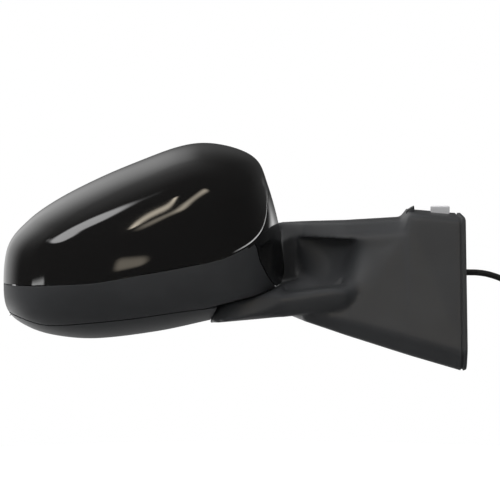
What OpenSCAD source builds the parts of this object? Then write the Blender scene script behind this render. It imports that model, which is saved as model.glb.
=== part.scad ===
// Exterior door mirror: a folding head on a foot that bolts to the door, with an electric drive
// that tilts the glass about two axes. Millimetres. X points to the door, Y to the rear of the car
// and Z up. The origin is the middle of the bolt circle on the door face.

/* [Head] */
// Length of the head, from its outboard tip to its inboard wall
head_length = 230; // [222:1:238]
// Height of the head, from its lowest point to its crown
head_height = 160; // [154:1:166]
// Depth of the shells, from the front crown to the rear rim
head_depth = 87; // [84:1:92]
// Distance of the rear rim behind the fold axis
rim_y = 36; // [35:0.5:38]
// Wall thickness of the moulded shells
shell_wall = 2.5; // [2:0.1:3]
// Gap that shows between two shells
seam_gap = 0.6; // [0.5:0.1:0.9]
// Width of the tongues that lie behind the seams
tongue = 6; // [4:0.5:8]

/* [Glass] */
// Width of the frame round the glass
bezel_width = 7; // [6:0.5:8]
// Gap between the frame and the glass
glass_gap = 3; // [2.5:0.25:4]
// Thickness of the glass
glass_thick = 2; // [1.6:0.1:2.4]
// Thickness of the plate that carries the glass
holder_thick = 3.5; // [3:0.25:4]
// Tilt of the glass to each side, in degrees
glass_tilt = 8; // [6:1:8]

/* [Glass drive] */
// Distance of each plunger from the middle of the gimbal
drive_arm = 30; // [29.5:0.25:31]
// Radius of a plunger's stem
stem_r = 3.4; // [3:0.1:3.6]
// Radius of a plunger's ball
ball_r = 4; // [3.8:0.1:4.2]
// Teeth on each drive wheel
wheel_teeth = 24; // [20:1:24]
// Tooth module of the drive wheels
tooth_module = 1; // [0.9:0.05:1]
// Radius of the worms
worm_r = 2.5; // [2.2:0.1:2.6]
// Radius of the motors
motor_r = 7.5; // [7:0.1:7.5]
// Length of the motors
motor_length = 24; // [20:1:24]
// Radius of the drive's round housing
drive_r = 46; // [46:0.5:47]

/* [Fold joint] */
// Distance of the fold axis from the door, at the top of the foot's pad
fold_reach = 175; // [165:1:185]
// Lean of the fold axis to the outboard side, in degrees
fold_lean = 14.5; // [13:0.5:16]
// Radius of the pad's top face
pad_r = 26; // [25:0.5:27]
// Radius of the hollow pivot post
post_r = 8; // [7:0.25:8.5]
// Running clearance of the fold hub on its post
hub_clearance = 0.05; // [0.03:0.01:0.08]
// Rearward fold of the head, in degrees
fold_back = 52; // [40:1:52]
// Forward fold of the head, in degrees
fold_front = 40; // [25:1:45]

/* [Foot] */
// Height of the foot at the door
foot_height = 125; // [120:1:132]
// Depth of the foot at the door, front to rear
foot_depth = 106; // [100:1:112]
// Wall thickness of the foot's cover
cover_wall = 2.8; // [2.4:0.1:3.2]
// Thickness of the rubber seal
gasket_thick = 4.5; // [4:0.5:6]
// Radius of the circle that the door bolts stand on
bolt_circle_r = 32; // [30:0.5:34]
// Radius of the hole in a threaded bush (M6 core)
bolt_hole_r = 2.5; // [2:0.5:3]
// Outside radius of a threaded bush
bush_r = 5; // [4.5:0.5:5.5]

/* [Cable] */
// Diameter of the cable
cable_d = 5; // [4:0.5:6]

/* [Hidden] */
plate_y = rim_y - 55;    // front face of the frame's plate
plate_thick = 3;
screw_r = 1.5;
pad_height = 14;         // height of the foot's pad along the fold axis
gap = 0.3;               // clearance between pieces that move past each other
slip = 0.05;             // running clearance of small shafts
big = 400;               // larger than the whole object

// ---------------------------------------------------------------- curves

function blend(a, b, c, d, t) = 0.5 * (2 * b + (c - a) * t + (2 * a - 5 * b + 4 * c - d) * t * t
    + (3 * b - a - 3 * c + d) * t * t * t);

// Smooth closed curve through the points p, with n steps from one point to the next
function closed_curve(p, n) = let (m = len(p)) [for (i = [0:m - 1], k = [0:n - 1])
    blend(p[(i + m - 1) % m], p[i], p[(i + 1) % m], p[(i + 2) % m], k / n)];

// Smooth open curve through the points p
function open_curve(p, n) = let (m = len(p) - 1) concat([for (i = [0:m - 1], k = [0:n - 1])
    blend(p[max(i - 1, 0)], p[i], p[i + 1], p[min(i + 2, m)], k / n)], [p[m]]);

// Extrudes an X-Z outline along Y, from y0 to y1
module along_y(y0, y1) {
    translate([0, y1, 0]) rotate([90, 0, 0]) linear_extrude(y1 - y0) children();
}

// Extrudes a Y-Z outline along X, from x0 to x1
module along_x(x0, x1) {
    translate([x0, 0, 0]) rotate([90, 0, 90]) linear_extrude(x1 - x0) children();
}

// Moves to an X-Z point at depth y and turns Z to point along Y
module at_y(at, y) {
    translate([at[0], y, at[1]]) rotate([-90, 0, 0]) children();
}

// ---------------------------------------------------------------- frames

fold_drop = 3.3;         // the fold point lies this far below the middle of the bolt circle

// The head's frame: its origin is where the fold axis meets the plane of the pad's top
module in_head() {
    translate([-fold_reach, 0, -fold_drop]) children();
}

// The fold axis as Z, leaning outboard
module on_fold_axis() {
    in_head() rotate([0, -fold_lean, 0]) children();
}

// ---------------------------------------------------------------- head form

// Scales a point of the head's nominal outline to the chosen length and height
function head_at(p) = [p[0] * head_length / 230, p[1] * head_height / 160];
function head_line(points) = [for (p = points) head_at(p)];

crown_line = head_line([[-201, 6], [-197, 38], [-180, 59], [-156, 76], [-123, 93], [-90, 107],
    [-57, 119], [-33, 122], [-8, 117], [8, 107], [16, 88], [24, 60], [28, 35], [28.5, 12]]);
shell_sill = head_line([[20, -9], [-5, -18], [-31, -23]]);
bezel_sill = head_line([[13, 7.5], [-12, 0.8], [-31, -5], [-46, -18]]);
keel_line = head_line([[-74, -32], [-123, -38], [-156, -36], [-180, -29], [-197, -16]]);
rim_steps = 3;
shell_rim = closed_curve(concat(crown_line, shell_sill, keel_line), rim_steps);
bezel_rim = closed_curve(concat(crown_line, bezel_sill, keel_line), rim_steps);

cap_seam = head_line([[-240, 6], [-188, 8], [-156, 10], [-123, 13], [-90, 19], [-57, 25],
    [-24, 32], [-8, 38.5], [4, 45.5], [11.5, 54], [15, 64], [16, 76], [17, 90], [24, 100]]);
keel_seam = head_line([[-240, -4], [-197, -16], [-172, -23.5], [-156, -24.5], [-123, -21],
    [-90, -17], [-57, -12], [-25, -8]]);
wall_seam = head_line([[3, 48], [7, 41], [9.5, 31], [14, 21], [19, 12], [26, 2]]);
crown = head_at([-48, 40]);
tip_x = crown_line[0][0];
dome_rings = 12;

// 0 at the outboard tip, 1 at the inboard wall
function inboard(q) = (q[0] - tip_x) / head_length;
// Exponent of the section's rounding: full at the inboard wall, softer at the tip
function fullness(q) = 2.2 + 1.6 * pow(inboard(q), 3);
// Lean of the wall: the inboard wall closes in towards the front
function wall_draft(q) = 0.17 * pow(max(inboard(q), 0), 4);

function dome_point(q, t, inset) = let (p = 2 / fullness(q), away = q - crown,
    reach = norm(away) - inset, depth = pow(sin(t), p),
    out = away / norm(away) * reach * pow(cos(t), p) * (1 - wall_draft(q) * depth))
    [crown[0] + out[0], rim_y - (head_depth - inset) * depth, crown[1] + out[1]];

// Triangles between two rings of n points each, the first starting at a and the second at b
function strip(a, b, n) = [for (k = [0:n - 1], side = [0, 1]) let (l = (k + 1) % n)
    side == 0 ? [a + k, b + k, b + l] : [a + k, b + l, a + l]];

// Solid dome behind the rim, made smaller all round by inset and longer behind by over
module dome(inset, over = 0) {
    n = len(shell_rim);
    last = (dome_rings + 1) * n;
    points = concat(
        [for (q = shell_rim) dome_point(q, 0, inset) + [0, over, 0]],
        [for (j = [0:dome_rings - 1], q = shell_rim) dome_point(q, 90 * j / dome_rings, inset)],
        [[crown[0], rim_y - head_depth + inset, crown[1]], [crown[0], rim_y + over, crown[1]]]);
    first = over > 0 ? 0 : 1;
    faces = concat(
        [for (j = [first:dome_rings - 1]) each strip((j + 1) * n, j * n, n)],
        [for (k = [0:n - 1]) [last, dome_rings * n + k, dome_rings * n + (k + 1) % n]],
        [for (k = [0:n - 1]) [last + 1, first * n + (k + 1) % n, first * n + k]]);
    polyhedron(points, faces, convexity = 4);
}

// Skin of the head between two depths below its surface
module head_skin(outer, inner) {
    difference() {
        dome(outer);
        dome(inner, over = 1);
    }
}

// Outlines of the shells' areas, seen from the front
module above_pad_area() {
    slope = tan(fold_lean);
    notch = head_at([-25, 0])[0];
    difference() {
        square(2 * big, center = true);
        polygon([[notch, notch * slope], [notch - 6, notch * slope - 15], [notch - 16, -60],
            [90, -60], [90, 90 * slope]]);
    }
}
module cap_area() {
    polygon(concat(open_curve(cap_seam, 4), [[60, 200], [-260, 200]]));
}
module keel_area() {
    polygon(concat(open_curve(keel_seam, 3), [[head_at([-25, 0])[0], -90], [-260, -90]]));
}
module wall_area() {
    difference() {
        polygon(concat(open_curve(wall_seam, 3), [[90, 2], [90, 120], [0, 120]]));
        cap_area();
    }
}
module band_area() {
    difference() {
        above_pad_area();
        cap_area();
        keel_area();
        wall_area();
    }
}
// Takes half a seam's gap off an area's edge
module trimmed() {
    offset(delta = -seam_gap / 2) children();
}

// Point on the head's middle line that is nearest to q
spine = head_line([[-150, 18], [-25, 52]]);
function on_spine(q) = let (a = spine[0], run = spine[1] - a,
    t = min(1, max(0, (q - a) * run / (run * run)))) a + run * t;
function inward(q, w) = q + (on_spine(q) - q) / norm(on_spine(q) - q) * w;

// A snap hook on the inside of a shell, at the point of the rim that is nearest to at
hook_length = 11;
module snap_hook(at) {
    q = head_at(at);
    toward = on_spine(q) - q;
    translate([q[0], rim_y - 2, q[1]]) rotate([0, -atan2(toward[1], toward[0]), 0]) {
        hull() {
            translate([1.4, -hook_length, -4]) cube([2, 1, 8]);
            translate([2.2, -1, -3.5]) cube([1.8, 1, 7]);
        }
        hull() {
            translate([3.6, -3, -3.5]) cube([0.4, 3, 7]);
            translate([3.6, -1.6, -3.5]) cube([0.9, 0.4, 7]);
        }
    }
}

module painted_cap() {
    color("#101012") in_head() {
        intersection() {
            head_skin(0, shell_wall);
            along_y(-90, 60) trimmed() cap_area();
        }
        intersection() {
            dome(shell_wall / 2);
            for (at = [[-188, 50], [-140, 85], [-90, 107], [-57, 119], [-20, 120.5]])
                snap_hook(at);
        }
    }
}

// Grained strip, with tongues behind the edges of its neighbours and bosses for the frame's screws
module side_band() {
    color("#2b2b2c") in_head() difference() {
        union() {
            intersection() {
                dome(0);
                along_y(-90, 60) trimmed() band_area();
            }
            intersection() {
                dome(shell_wall + gap);
                along_y(-90, 60) intersection() {
                    offset(delta = tongue) band_area();
                    offset(delta = -seam_gap) difference() {
                        above_pad_area();
                        wall_area();
                    }
                }
            }
        }
        difference() {
            dome(shell_wall * 2, over = 1);
            for (at = band_bosses) band_boss(head_at(at));
        }
        intersection() {
            dome(shell_wall, over = 1);
            along_y(rim_y - skirt_depth - gap, 60) square(2 * big, center = true);
        }
        for (at = band_bosses)
            at_y(head_at(at), plate_y - 6) cylinder(r = screw_r + slip, h = 8, $fn = 16);
        rotate([0, -fold_lean, 0]) translate([0, 0, -2]) cylinder(r = floor_r + gap, h = floor_top + 2 + gap);
    }
}
band_bosses = [[-128, -6], [-92, -9.5], [-48, 6], [-6, 14]];
module band_boss(at) {
    hull() {
        at_y(at, plate_y - 2) cylinder(r = 4, h = 2, $fn = 16);
        at_y(at, plate_y - 26) cylinder(r = 5, h = 2, $fn = 16);
    }
    hull() {
        at_y(at - [8, 0], plate_y - 26) cylinder(r = 0.8, h = 2, $fn = 8);
        at_y(at + [8, 0], plate_y - 26) cylinder(r = 0.8, h = 2, $fn = 8);
        at_y(at, plate_y - 5) cylinder(r = 0.8, h = 2, $fn = 8);
    }
}

module lower_cover() {
    color("#29292a") in_head() difference() {
        union() {
            intersection() {
                head_skin(0, shell_wall);
                along_y(-90, 60) trimmed() intersection() {
                    above_pad_area();
                    keel_area();
                }
            }
            intersection() {
                dome(shell_wall / 2);
                for (at = [[-148, -37], [-122, -38], [-95, -35.5]])
                    snap_hook(at);
            }
        }
        rotate([0, -fold_lean, 0]) pad_cone(pad_height, 1);
    }
}

// ---------------------------------------------------------------- bezel and glass

// Section of the frame round the glass: distance inside the rim, and depth
skirt_depth = 8;
skirt_thick = 1.8;
bezel_height = 7;
bezel_section = [[0, 0], [0, 2], [0.8, 5], [2.4, 6.6], [4.4, bezel_height], [bezel_width - 0.8, 6.2],
    [bezel_width, 4], [bezel_width, -skirt_depth], [bezel_width - skirt_thick, -skirt_depth],
    [bezel_width - skirt_thick, 0]];

module bezel_ring() {
    n = len(bezel_rim);
    m = len(bezel_section);
    points = [for (s = bezel_section, q = bezel_rim) let (i = inward(q, s[0]))
        [i[0], rim_y + s[1], i[1]]];
    faces = [for (j = [0:m - 1]) each strip(j * n, ((j + 1) % m) * n, n)];
    polyhedron(points, faces, convexity = 6);
}

// Legs that carry the bezel on the frame's bosses: the rim points that they stand by
leg_points = [[-156, 76], [-33, 122], [-138, -37], [-74, -32]];
leg_inset = [27, 23, 30, 22];
boss_top_y = plate_y + 11;
boss_r = 5;
leg_bend = 8.6;           // how far inside the rim a leg stands where it bends
function leg_foot(i) = inward(head_at(leg_points[i]), leg_inset[i]);

module bezel_leg(i) {
    q = head_at(leg_points[i]);
    difference() {
        union() {
            hull() {
                at_y(inward(q, bezel_width - 1), rim_y - skirt_depth) cylinder(r = 1, h = 3, $fn = 12);
                at_y(inward(q, leg_bend), boss_top_y + 16) cylinder(r = 1.3, h = 1, $fn = 12);
            }
            hull() {
                at_y(inward(q, leg_bend), boss_top_y + 16) cylinder(r = 1.3, h = 1, $fn = 12);
                at_y(leg_foot(i), boss_top_y + 1) cylinder(r = 3, h = 1, $fn = 16);
            }
            at_y(leg_foot(i), boss_top_y) cylinder(r = boss_r, h = 2.5, $fn = 24);
        }
        at_y(leg_foot(i), boss_top_y - 1) cylinder(r = screw_r + slip, h = 8, $fn = 16);
    }
}

module rear_bezel() {
    color("#0c0c0d") in_head() {
        bezel_ring();
        intersection() {
            head_skin(0, shell_wall);
            along_y(-90, 60) trimmed() intersection() {
                above_pad_area();
                wall_area();
            }
        }
        for (i = [0:3]) bezel_leg(i);
    }
}

glass_y = rim_y + bezel_height - 3 - glass_thick;   // front face of the glass
glass_line = [for (q = bezel_rim) inward(q, bezel_width + glass_gap)];
holder_line = [for (q = bezel_rim) inward(q, bezel_width + glass_gap + 0.8)];
gimbal = head_at([-87, 41]);             // middle of the gimbal, seen from the front
gimbal_y = glass_y - holder_thick - 10.5;
pin_r = 2;
ring_in = 12.5;
ring_out = 16.5;
ring_half = 3.5;
lug_in = 18;
lug_thick = 3.5;

module at_gimbal(y) {
    at_y(gimbal, y) children();
}

module mirror_glass() {
    color("#9aa3a8") in_head() along_y(glass_y, glass_y + glass_thick) polygon(glass_line);
}

// Two lugs with inward pins, at plus and minus lug_in along X
module lug_pair(length) {
    for (side = [0, 180]) rotate([0, 0, side]) {
        translate([lug_in, -4, 0]) cube([lug_thick, 8, length - 4]);
        translate([lug_in, 0, length - 4]) rotate([0, 90, 0]) cylinder(r = 4, h = lug_thick);
        translate([ring_in + gap, 0, length - 4]) rotate([0, 90, 0])
            cylinder(r = pin_r, h = lug_in - ring_in - gap + 1);
    }
}

// Plate with the sockets for the plungers' balls and the lugs of the gimbal's upright axis
socket_r = 6.5;
socket_floor = 4;
// Room that a ball needs when the glass tilts
ball_room = drive_arm * (1 - cos(glass_tilt)) + 0.2;
cross_room = ball_room + drive_arm * pow(sin(glass_tilt), 2);
module glass_holder() {
    back = glass_y - holder_thick;
    length = back - gimbal_y;
    color("#222224") in_head() difference() {
        union() {
            along_y(back, glass_y) polygon(holder_line);
            at_gimbal(back) rotate([180, 0, 90]) lug_pair(length + 4);
            for (at = [[0, drive_arm], [drive_arm, 0]])
                at_y(gimbal + at, gimbal_y - socket_floor) cylinder(r = socket_r, h = back - gimbal_y + 5);
        }
        at_y(gimbal + [0, drive_arm], gimbal_y - socket_floor - 1)
            cylinder(r = ball_r + ball_room, h = back - gimbal_y + 3);
        at_y(gimbal + [drive_arm, 0], gimbal_y - socket_floor - 1)
            cylinder(r = ball_r + cross_room, h = back - gimbal_y + 3);
    }
}

module gimbal_ring() {
    color("#d8d4c8") in_head() at_gimbal(gimbal_y) difference() {
        translate([0, 0, -ring_half]) cylinder(r = ring_out, h = 2 * ring_half);
        translate([0, 0, -ring_half - 1]) cylinder(r = ring_in, h = 2 * ring_half + 2);
        for (turn = [0, 90]) rotate([0, 0, turn]) translate([-ring_out - 1, 0, 0])
            rotate([0, 90, 0]) cylinder(r = pin_r + slip, h = 2 * ring_out + 2);
    }
}

// ---------------------------------------------------------------- glass drive

base_y = plate_y + plate_thick;          // front face of the actuator's base
wheel_y = base_y + 8;                    // front face of the toothed wheels
wheel_thick = 6;
cover_y = base_y + 19;                   // underside of the actuator's cover
cover_thick = 2.5;
wheel_pitch_r = wheel_teeth * tooth_module / 2;
worm_at = drive_arm - wheel_pitch_r - tooth_module - gap - worm_r;
worm_y = wheel_y + wheel_thick / 2;
stem_y = base_y + 7.5;
drive_screws = [[27.6, 27.6], [27.6, -27.6], [-27.6, 27.6], [-27.6, -27.6]];

module plunger(at) {
    color("#e6e2d6") in_head() at_y(gimbal + at, 0) difference() {
        union() {
            translate([0, 0, stem_y]) cylinder(r = stem_r, h = gimbal_y - stem_y - 2);
            translate([0, 0, gimbal_y]) sphere(r = ball_r);
        }
        for (turn = [0, 90]) rotate([0, 0, turn])
            translate([-0.6, stem_r - 0.8, stem_y - 1]) cube([1.2, 2, gimbal_y - stem_y - 6]);
    }
}
module pitch_plunger() { plunger([0, drive_arm]); }
module yaw_plunger() { plunger([drive_arm, 0]); }

// Toothed wheel round a plunger, with a hub up to the cover
module wheel(at) {
    step = 360 / wheel_teeth;
    root = wheel_pitch_r - 1.2 * tooth_module;
    tip = wheel_pitch_r + tooth_module;
    outline = [for (i = [0:wheel_teeth - 1], c = [[root, -0.36], [tip, -0.13], [tip, 0.13],
        [root, 0.36]]) c[0] * [cos((i + c[1]) * step), sin((i + c[1]) * step)]];
    color("#f0ede2") in_head() at_y(gimbal + at, wheel_y) difference() {
        union() {
            linear_extrude(wheel_thick) polygon(outline);
            cylinder(r = stem_r + 3, h = cover_y - wheel_y - gap);
        }
        translate([0, 0, -1]) cylinder(r = stem_r + slip, h = 40);
    }
}
module pitch_wheel() { wheel([0, drive_arm]); }
module yaw_wheel() { wheel([drive_arm, 0]); }

// Worm on its shaft along local X, from the motor's face past the wheel
motor_face = 12;
module worm() {
    turns = 8;
    difference() {
        rotate([0, 90, 0]) translate([0, 0, -motor_face + 2])
            cylinder(r = worm_r, h = 2 * motor_face - 4);
        for (i = [0:turns - 1]) translate([-7 + 2 * i, 0, 0]) rotate([0, 90, 0]) difference() {
            translate([0, 0, -0.4]) cylinder(r = worm_r + 1, h = 0.8);
            translate([0, 0, -0.5]) cylinder(r = worm_r - 0.5, h = 1);
        }
    }
    translate([-motor_face - 6, 0, 0]) rotate([0, 90, 0]) cylinder(r = 1, h = 8.5);
}
module motor() {
    translate([-motor_face - motor_length, 0, 0]) rotate([0, 90, 0]) difference() {
        union() {
            cylinder(r = motor_r, h = motor_length);
            translate([0, 0, -1.2]) cylinder(r = 3, h = 2);
        }
        translate([0, 0, motor_length - 9]) cylinder(r = 1 + slip, h = 12);
    }
}
// The pitch drive lies along X and the yaw drive along Z, both with the motor at the far end
module pitch_drive() { in_head() translate([gimbal[0], worm_y, gimbal[1] + worm_at]) children(); }
module yaw_drive() {
    in_head() translate([gimbal[0] + worm_at, worm_y, gimbal[1]]) rotate([0, -90, 0]) children();
}
module pitch_worm() { color("#c9a24a") pitch_drive() worm(); }
module yaw_worm() { color("#c9a24a") yaw_drive() worm(); }
module pitch_motor() { color("#9b9da0") pitch_drive() motor(); }
module yaw_motor() { color("#9b9da0") yaw_drive() motor(); }

module actuator_base() {
    floor_thick = 2.5;
    color("#1f2022") in_head() at_gimbal(base_y) difference() {
        union() {
            cylinder(r = drive_r, h = floor_thick);
            difference() {
                cylinder(r = drive_r, h = cover_y - base_y - gap);
                translate([0, 0, -1]) cylinder(r = drive_r - 2, h = 40);
            }
            for (at = drive_screws) translate([at[0], -at[1], 0])
                cylinder(r = 4, h = cover_y - base_y - gap);
            for (at = [[0, drive_arm], [drive_arm, 0]]) translate([at[0], -at[1], 0])
                cylinder(r = stem_r + 3, h = wheel_y - base_y - gap);
        }
        for (at = drive_screws) translate([at[0], -at[1], -1])
            cylinder(r = screw_r + 0.1, h = 40);
        for (at = [[0, drive_arm], [drive_arm, 0]]) translate([at[0], -at[1], floor_thick])
            cylinder(r = stem_r + 0.5, h = 40);
    }
}
module actuator_cover() {
    color("#242527") in_head() at_gimbal(cover_y) difference() {
        union() {
            cylinder(r = drive_r, h = cover_thick);
            translate([0, 0, cover_thick]) lug_pair(gimbal_y - cover_y - cover_thick + 4);
            for (at = [[0, drive_arm], [drive_arm, 0]]) translate([at[0], -at[1], 0])
                cylinder(r = stem_r + 2, h = cover_thick + 2);
        }
        for (at = drive_screws) translate([at[0], -at[1], -1])
            cylinder(r = screw_r + 0.1, h = 20);
        for (at = [[0, drive_arm], [drive_arm, 0]]) translate([at[0], -at[1], -1])
            cylinder(r = stem_r + slip, h = 20);
    }
}
module screw(length, head = 2) {
    translate([0, 0, -length]) cylinder(r = screw_r, h = length + 0.5);
    difference() {
        cylinder(r = screw_r * 1.9, h = head);
        translate([0, 0, head - 1]) cylinder(r = screw_r * 0.7, h = 2, $fn = 6);
    }
}
module actuator_screws() {
    color("#b8bcc0") in_head() for (at = drive_screws)
        at_y(gimbal + at, cover_y + cover_thick) screw(cover_y + cover_thick - plate_y - 1);
}

// ---------------------------------------------------------------- frame and fold joint

hub_height = 16;
hub_r = 12.2;
floor_r = 18.8;
floor_top = 6;
ring_r = [13.2, 17];     // stop ring, inside and outside
lug_half = 8;            // half the angle of the stop lug
spring_height = 20;

// Moulded carrier: plate for the drive and the bezel, and the hub that turns on the post
plate_line = head_line([[-13, 2.3], [8, 7.7], [7, 54], [-16, 96], [-24, 101], [-38, 102], [-62, 92],
    [-98, 78], [-118, 70], [-146, 56], [-153, 48], [-150, 42], [-133, 30], [-133, 8], [-147, 2],
    [-148, -8], [-141, -14], [-130, -15], [-96, -14], [-76, -16], [-40, -4]]);
module head_frame() {
    color("#1b1c1e") {
        in_head() difference() {
            union() {
                along_y(plate_y, plate_y + plate_thick) polygon(plate_line);
                for (i = [0:3]) at_y(leg_foot(i), plate_y) cylinder(r = boss_r, h = boss_top_y - plate_y);
            }
            for (i = [0:3]) at_y(leg_foot(i), plate_y - 1) cylinder(r = screw_r + 0.1, h = 20);
            for (at = drive_screws) at_y(gimbal + at, plate_y - 1)
                cylinder(r = screw_r + 0.1, h = 20);
            for (at = band_bosses) at_y(head_at(at), plate_y - 1)
                cylinder(r = screw_r + 0.1, h = 20);
            at_gimbal(plate_y - 1) cylinder(r = 15, h = 20);
        }
        on_fold_axis() difference() {
            union() {
                translate([0, 0, 0.5]) cylinder(r = floor_r, h = floor_top - 0.5);
                translate([0, 0, 0.5]) cylinder(r = hub_r, h = hub_height - 0.5);
                for (x = [1.5, 7]) translate([x, plate_y + 1, floor_top - 0.5]) cube([3, -plate_y - 8, 9]);
            }
            translate([0, 0, -1]) cylinder(r = post_r + hub_clearance, h = 40);
            difference() {
                cylinder(r = ring_r[1] + gap, h = 2);
                translate([0, 0, -1]) cylinder(r = ring_r[0] - gap, h = 4);
            }
            stop_slot();
        }
    }
}
// Arc in the hub's floor that the stop lug runs in: the head turns back by fold_back and forward
// by fold_front before the lug meets an end
module stop_slot() {
    first = 180 - lug_half - fold_front - 1;
    last = 180 + lug_half + fold_back + 1;
    rotate([0, 0, first]) rotate_extrude(angle = last - first)
        translate([ring_r[0], 0]) square([ring_r[1] - ring_r[0], floor_top + 1]);
}

module frame_screws() {
    color("#b8bcc0") in_head() {
        for (i = [0:3]) at_y(leg_foot(i), plate_y) rotate([180, 0, 0]) screw(14);
        for (at = band_bosses) at_y(head_at(at), plate_y + plate_thick) screw(6);
    }
}

disc_top = -1;
module pivot_post() {
    color("#8d9094") on_fold_axis() difference() {
        translate([0, 0, disc_top - 7]) cylinder(r = post_r, h = 51);
        translate([0, 0, disc_top - 8]) cylinder(r = post_r - 2.5, h = 60);
        difference() {
            translate([0, 0, 40.4]) cylinder(r = post_r + 1, h = 2.2);
            translate([0, 0, 40]) cylinder(r = post_r - 1, h = 3);
        }
    }
}
module flat_ring(r_in, r_out, z, h) {
    translate([0, 0, z]) difference() {
        cylinder(r = r_out, h = h);
        translate([0, 0, -1]) cylinder(r = r_in, h = h + 2);
    }
}
module bearing_washer() {
    color("#c8b68a") on_fold_axis() flat_ring(post_r + slip, ring_r[0] - 0.5, disc_top, 1.2);
}
module stop_ring() {
    color("#77797c") on_fold_axis() {
        flat_ring(ring_r[0], ring_r[1], disc_top, 2.6);
        rotate([0, 0, 180 - lug_half]) rotate_extrude(angle = 2 * lug_half)
            translate([ring_r[0] + gap, disc_top + 2]) square([ring_r[1] - ring_r[0] - 2 * gap, 4]);
    }
}
module spring_seat() {
    color("#8d9094") on_fold_axis() flat_ring(post_r + slip, hub_r, hub_height + 0.2, 1.6);
}
// Compression spring round the post
module fold_spring() {
    wire = 2.6;
    turns = 4;
    coil_r = post_r + gap + wire / 2;
    base = hub_height + 1.8 + wire / 2 + 0.02;
    rise = spring_height - wire;
    sides = 8;
    steps = turns * 16;
    points = [for (i = [0:steps], k = [0:sides - 1]) let (a = 360 * i * turns / steps,
        c = wire / 2 * [cos(360 * k / sides), sin(360 * k / sides)])
        [(coil_r + c[0]) * cos(a), (coil_r + c[0]) * sin(a), base + rise * i / steps + c[1]]];
    faces = concat([for (i = [0:steps - 1]) each strip((i + 1) * sides, i * sides, sides)],
        [[for (k = [sides - 1:-1:0]) k]], [[for (k = [0:sides - 1]) steps * sides + k]]);
    color("#a9adb1") on_fold_axis() polyhedron(points, faces, convexity = 8);
}
module retaining_ring() {
    color("#8d9094") on_fold_axis() {
        flat_ring(post_r + slip, hub_r, hub_height + 1.8 + spring_height + 0.06, 2.5);
        flat_ring(post_r - 1, post_r + 4, 40.45, 2.1);
    }
}

// ---------------------------------------------------------------- foot

// Scales of the foot's nominal sections
function foot_at(p) = [p[0] * foot_depth / 106, p[1] * foot_height / 125];
function foot_x(x) = x * fold_reach / 175;
sections = [
    [-5, [[-60, -49], [-50, -63], [46, -60], [46, 61], [-14, 61], [-27, 60]]],
    [-45, [[-48, -37.5], [-39, -51.5], [45, -48.5], [45, 64.5], [-4, 64.5], [-13, 63]]],
    [-50, [[-46, -36], [-37, -50], [45, -47], [45, 58], [-4, 58], [-16, 47]]],
    [-96, [[-30, -24], [-22, -36.5], [48, -34], [50, 55], [12, 55], [0, 45]]],
    [-130, [[-21, -16], [-15, -25.3], [52, -24], [55, 53.8], [34, 53.6], [24, 44]]],
    [-147, [[10, -12], [14, -20.4], [56.5, -19], [60, 52.6], [48, 52.6], [40, 43]]],
    [-158, [[47, 16], [51, 10], [61.2, 10], [63, 51.8], [56, 51.8], [51, 44]]]];
arm_sections = [
    [-88, [[-29.2, -5], [-24, -13.5], [35, -19], [35, 7], [-26, 7], [-29.2, 2]]],
    [-148, [[-28.5, -17.5], [-23, -21.5], [28, -20], [28, -1.2], [-25, -1.2], [-30, -6]]]];
corner_r = 4;

function turned(d) = d / norm(d);
// Moves the sides of a convex outline inwards by w
function shrunk(p, w) = let (n = len(p)) [for (i = [0:n - 1])
    let (a = turned(p[i] - p[(i + n - 1) % n]), b = turned(p[(i + 1) % n] - p[i]),
        m = [-a[1], a[0]], k = [-b[1], b[0]])
    p[i] + w * (m + k) / (1 + m * k)];
// Point on the way from c to q, at most r and less than half of the way
function toward(c, q, r) = c + turned(q - c) * min(r, norm(q - c) * 0.45);
// Rounds each corner of an outline
function eased(p, r, steps) = let (n = len(p)) [for (i = [0:n - 1], k = [0:steps])
    let (t = k / steps, c = p[i], a = toward(c, p[(i + n - 1) % n], r), b = toward(c, p[(i + 1) % n], r))
    a * (1 - t) * (1 - t) + c * 2 * t * (1 - t) + b * t * t];
// Outline of a foot section in space, at x
function foot_loop(section, x, inset) = [for (p = eased(shrunk([for (q = section) foot_at(q)],
    inset), corner_r - inset / 2, 3)) [foot_x(x), p[0], p[1]]];
// Closed skin through loops that all have as many points
module loft(loops) {
    n = len(loops[0]);
    m = len(loops) - 1;
    faces = concat([for (j = [0:m - 1]) each strip((j + 1) * n, j * n, n)],
        [[for (k = [n - 1:-1:0]) k]], [[for (k = [0:n - 1]) m * n + k]]);
    polyhedron([for (l = loops) each l], faces, convexity = 6);
}
module foot_blade(inset) {
    last = len(sections) - 1;
    difference() {
        loft([for (i = [0:last]) foot_loop(sections[i][1],
            sections[i][0] + (i == last ? inset : i == 0 && inset > 0 ? 12 : 0), inset)]);
        scoop(inset);
        on_fold_axis() translate([0, 0, -0.4 - inset])
            cylinder(r = fold_room + inset, h = 90, $fn = 64);
    }
}
fold_room = 62;
// Hollow in the front of the foot, under the beam, that leaves room for the head
scoop_r = 54;
module scoop(grow) {
    translate([foot_x(-146), -22, 9 - grow]) cylinder(r = scoop_r + grow, h = 33 + 2 * grow, $fn = 64);
}
pad_flare = 9.7;          // how much wider the pad is at its foot
module pad_cone(height, grow) {
    top = grow < 0 ? grow : 0;
    rotate_extrude($fn = 60) polygon([[0, -height], [pad_r + pad_flare + grow, -height],
        [pad_r + 0.5 + grow, -1.4 + top], [pad_r - 1 + grow, -0.4 + top], [0, -0.4 + top]]);
}
module foot_arm(inset) {
    neck = arm_sections[1];
    hull() {
        on_fold_axis() pad_cone(pad_height - inset, -inset);
        loft([for (x = [2.2, 1.5]) foot_loop(neck[1], neck[0] + x, inset + 0.45)]);
    }
    loft([foot_loop(arm_sections[0][1], arm_sections[0][0], inset), foot_loop(neck[1], neck[0], inset)]);
}
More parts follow.
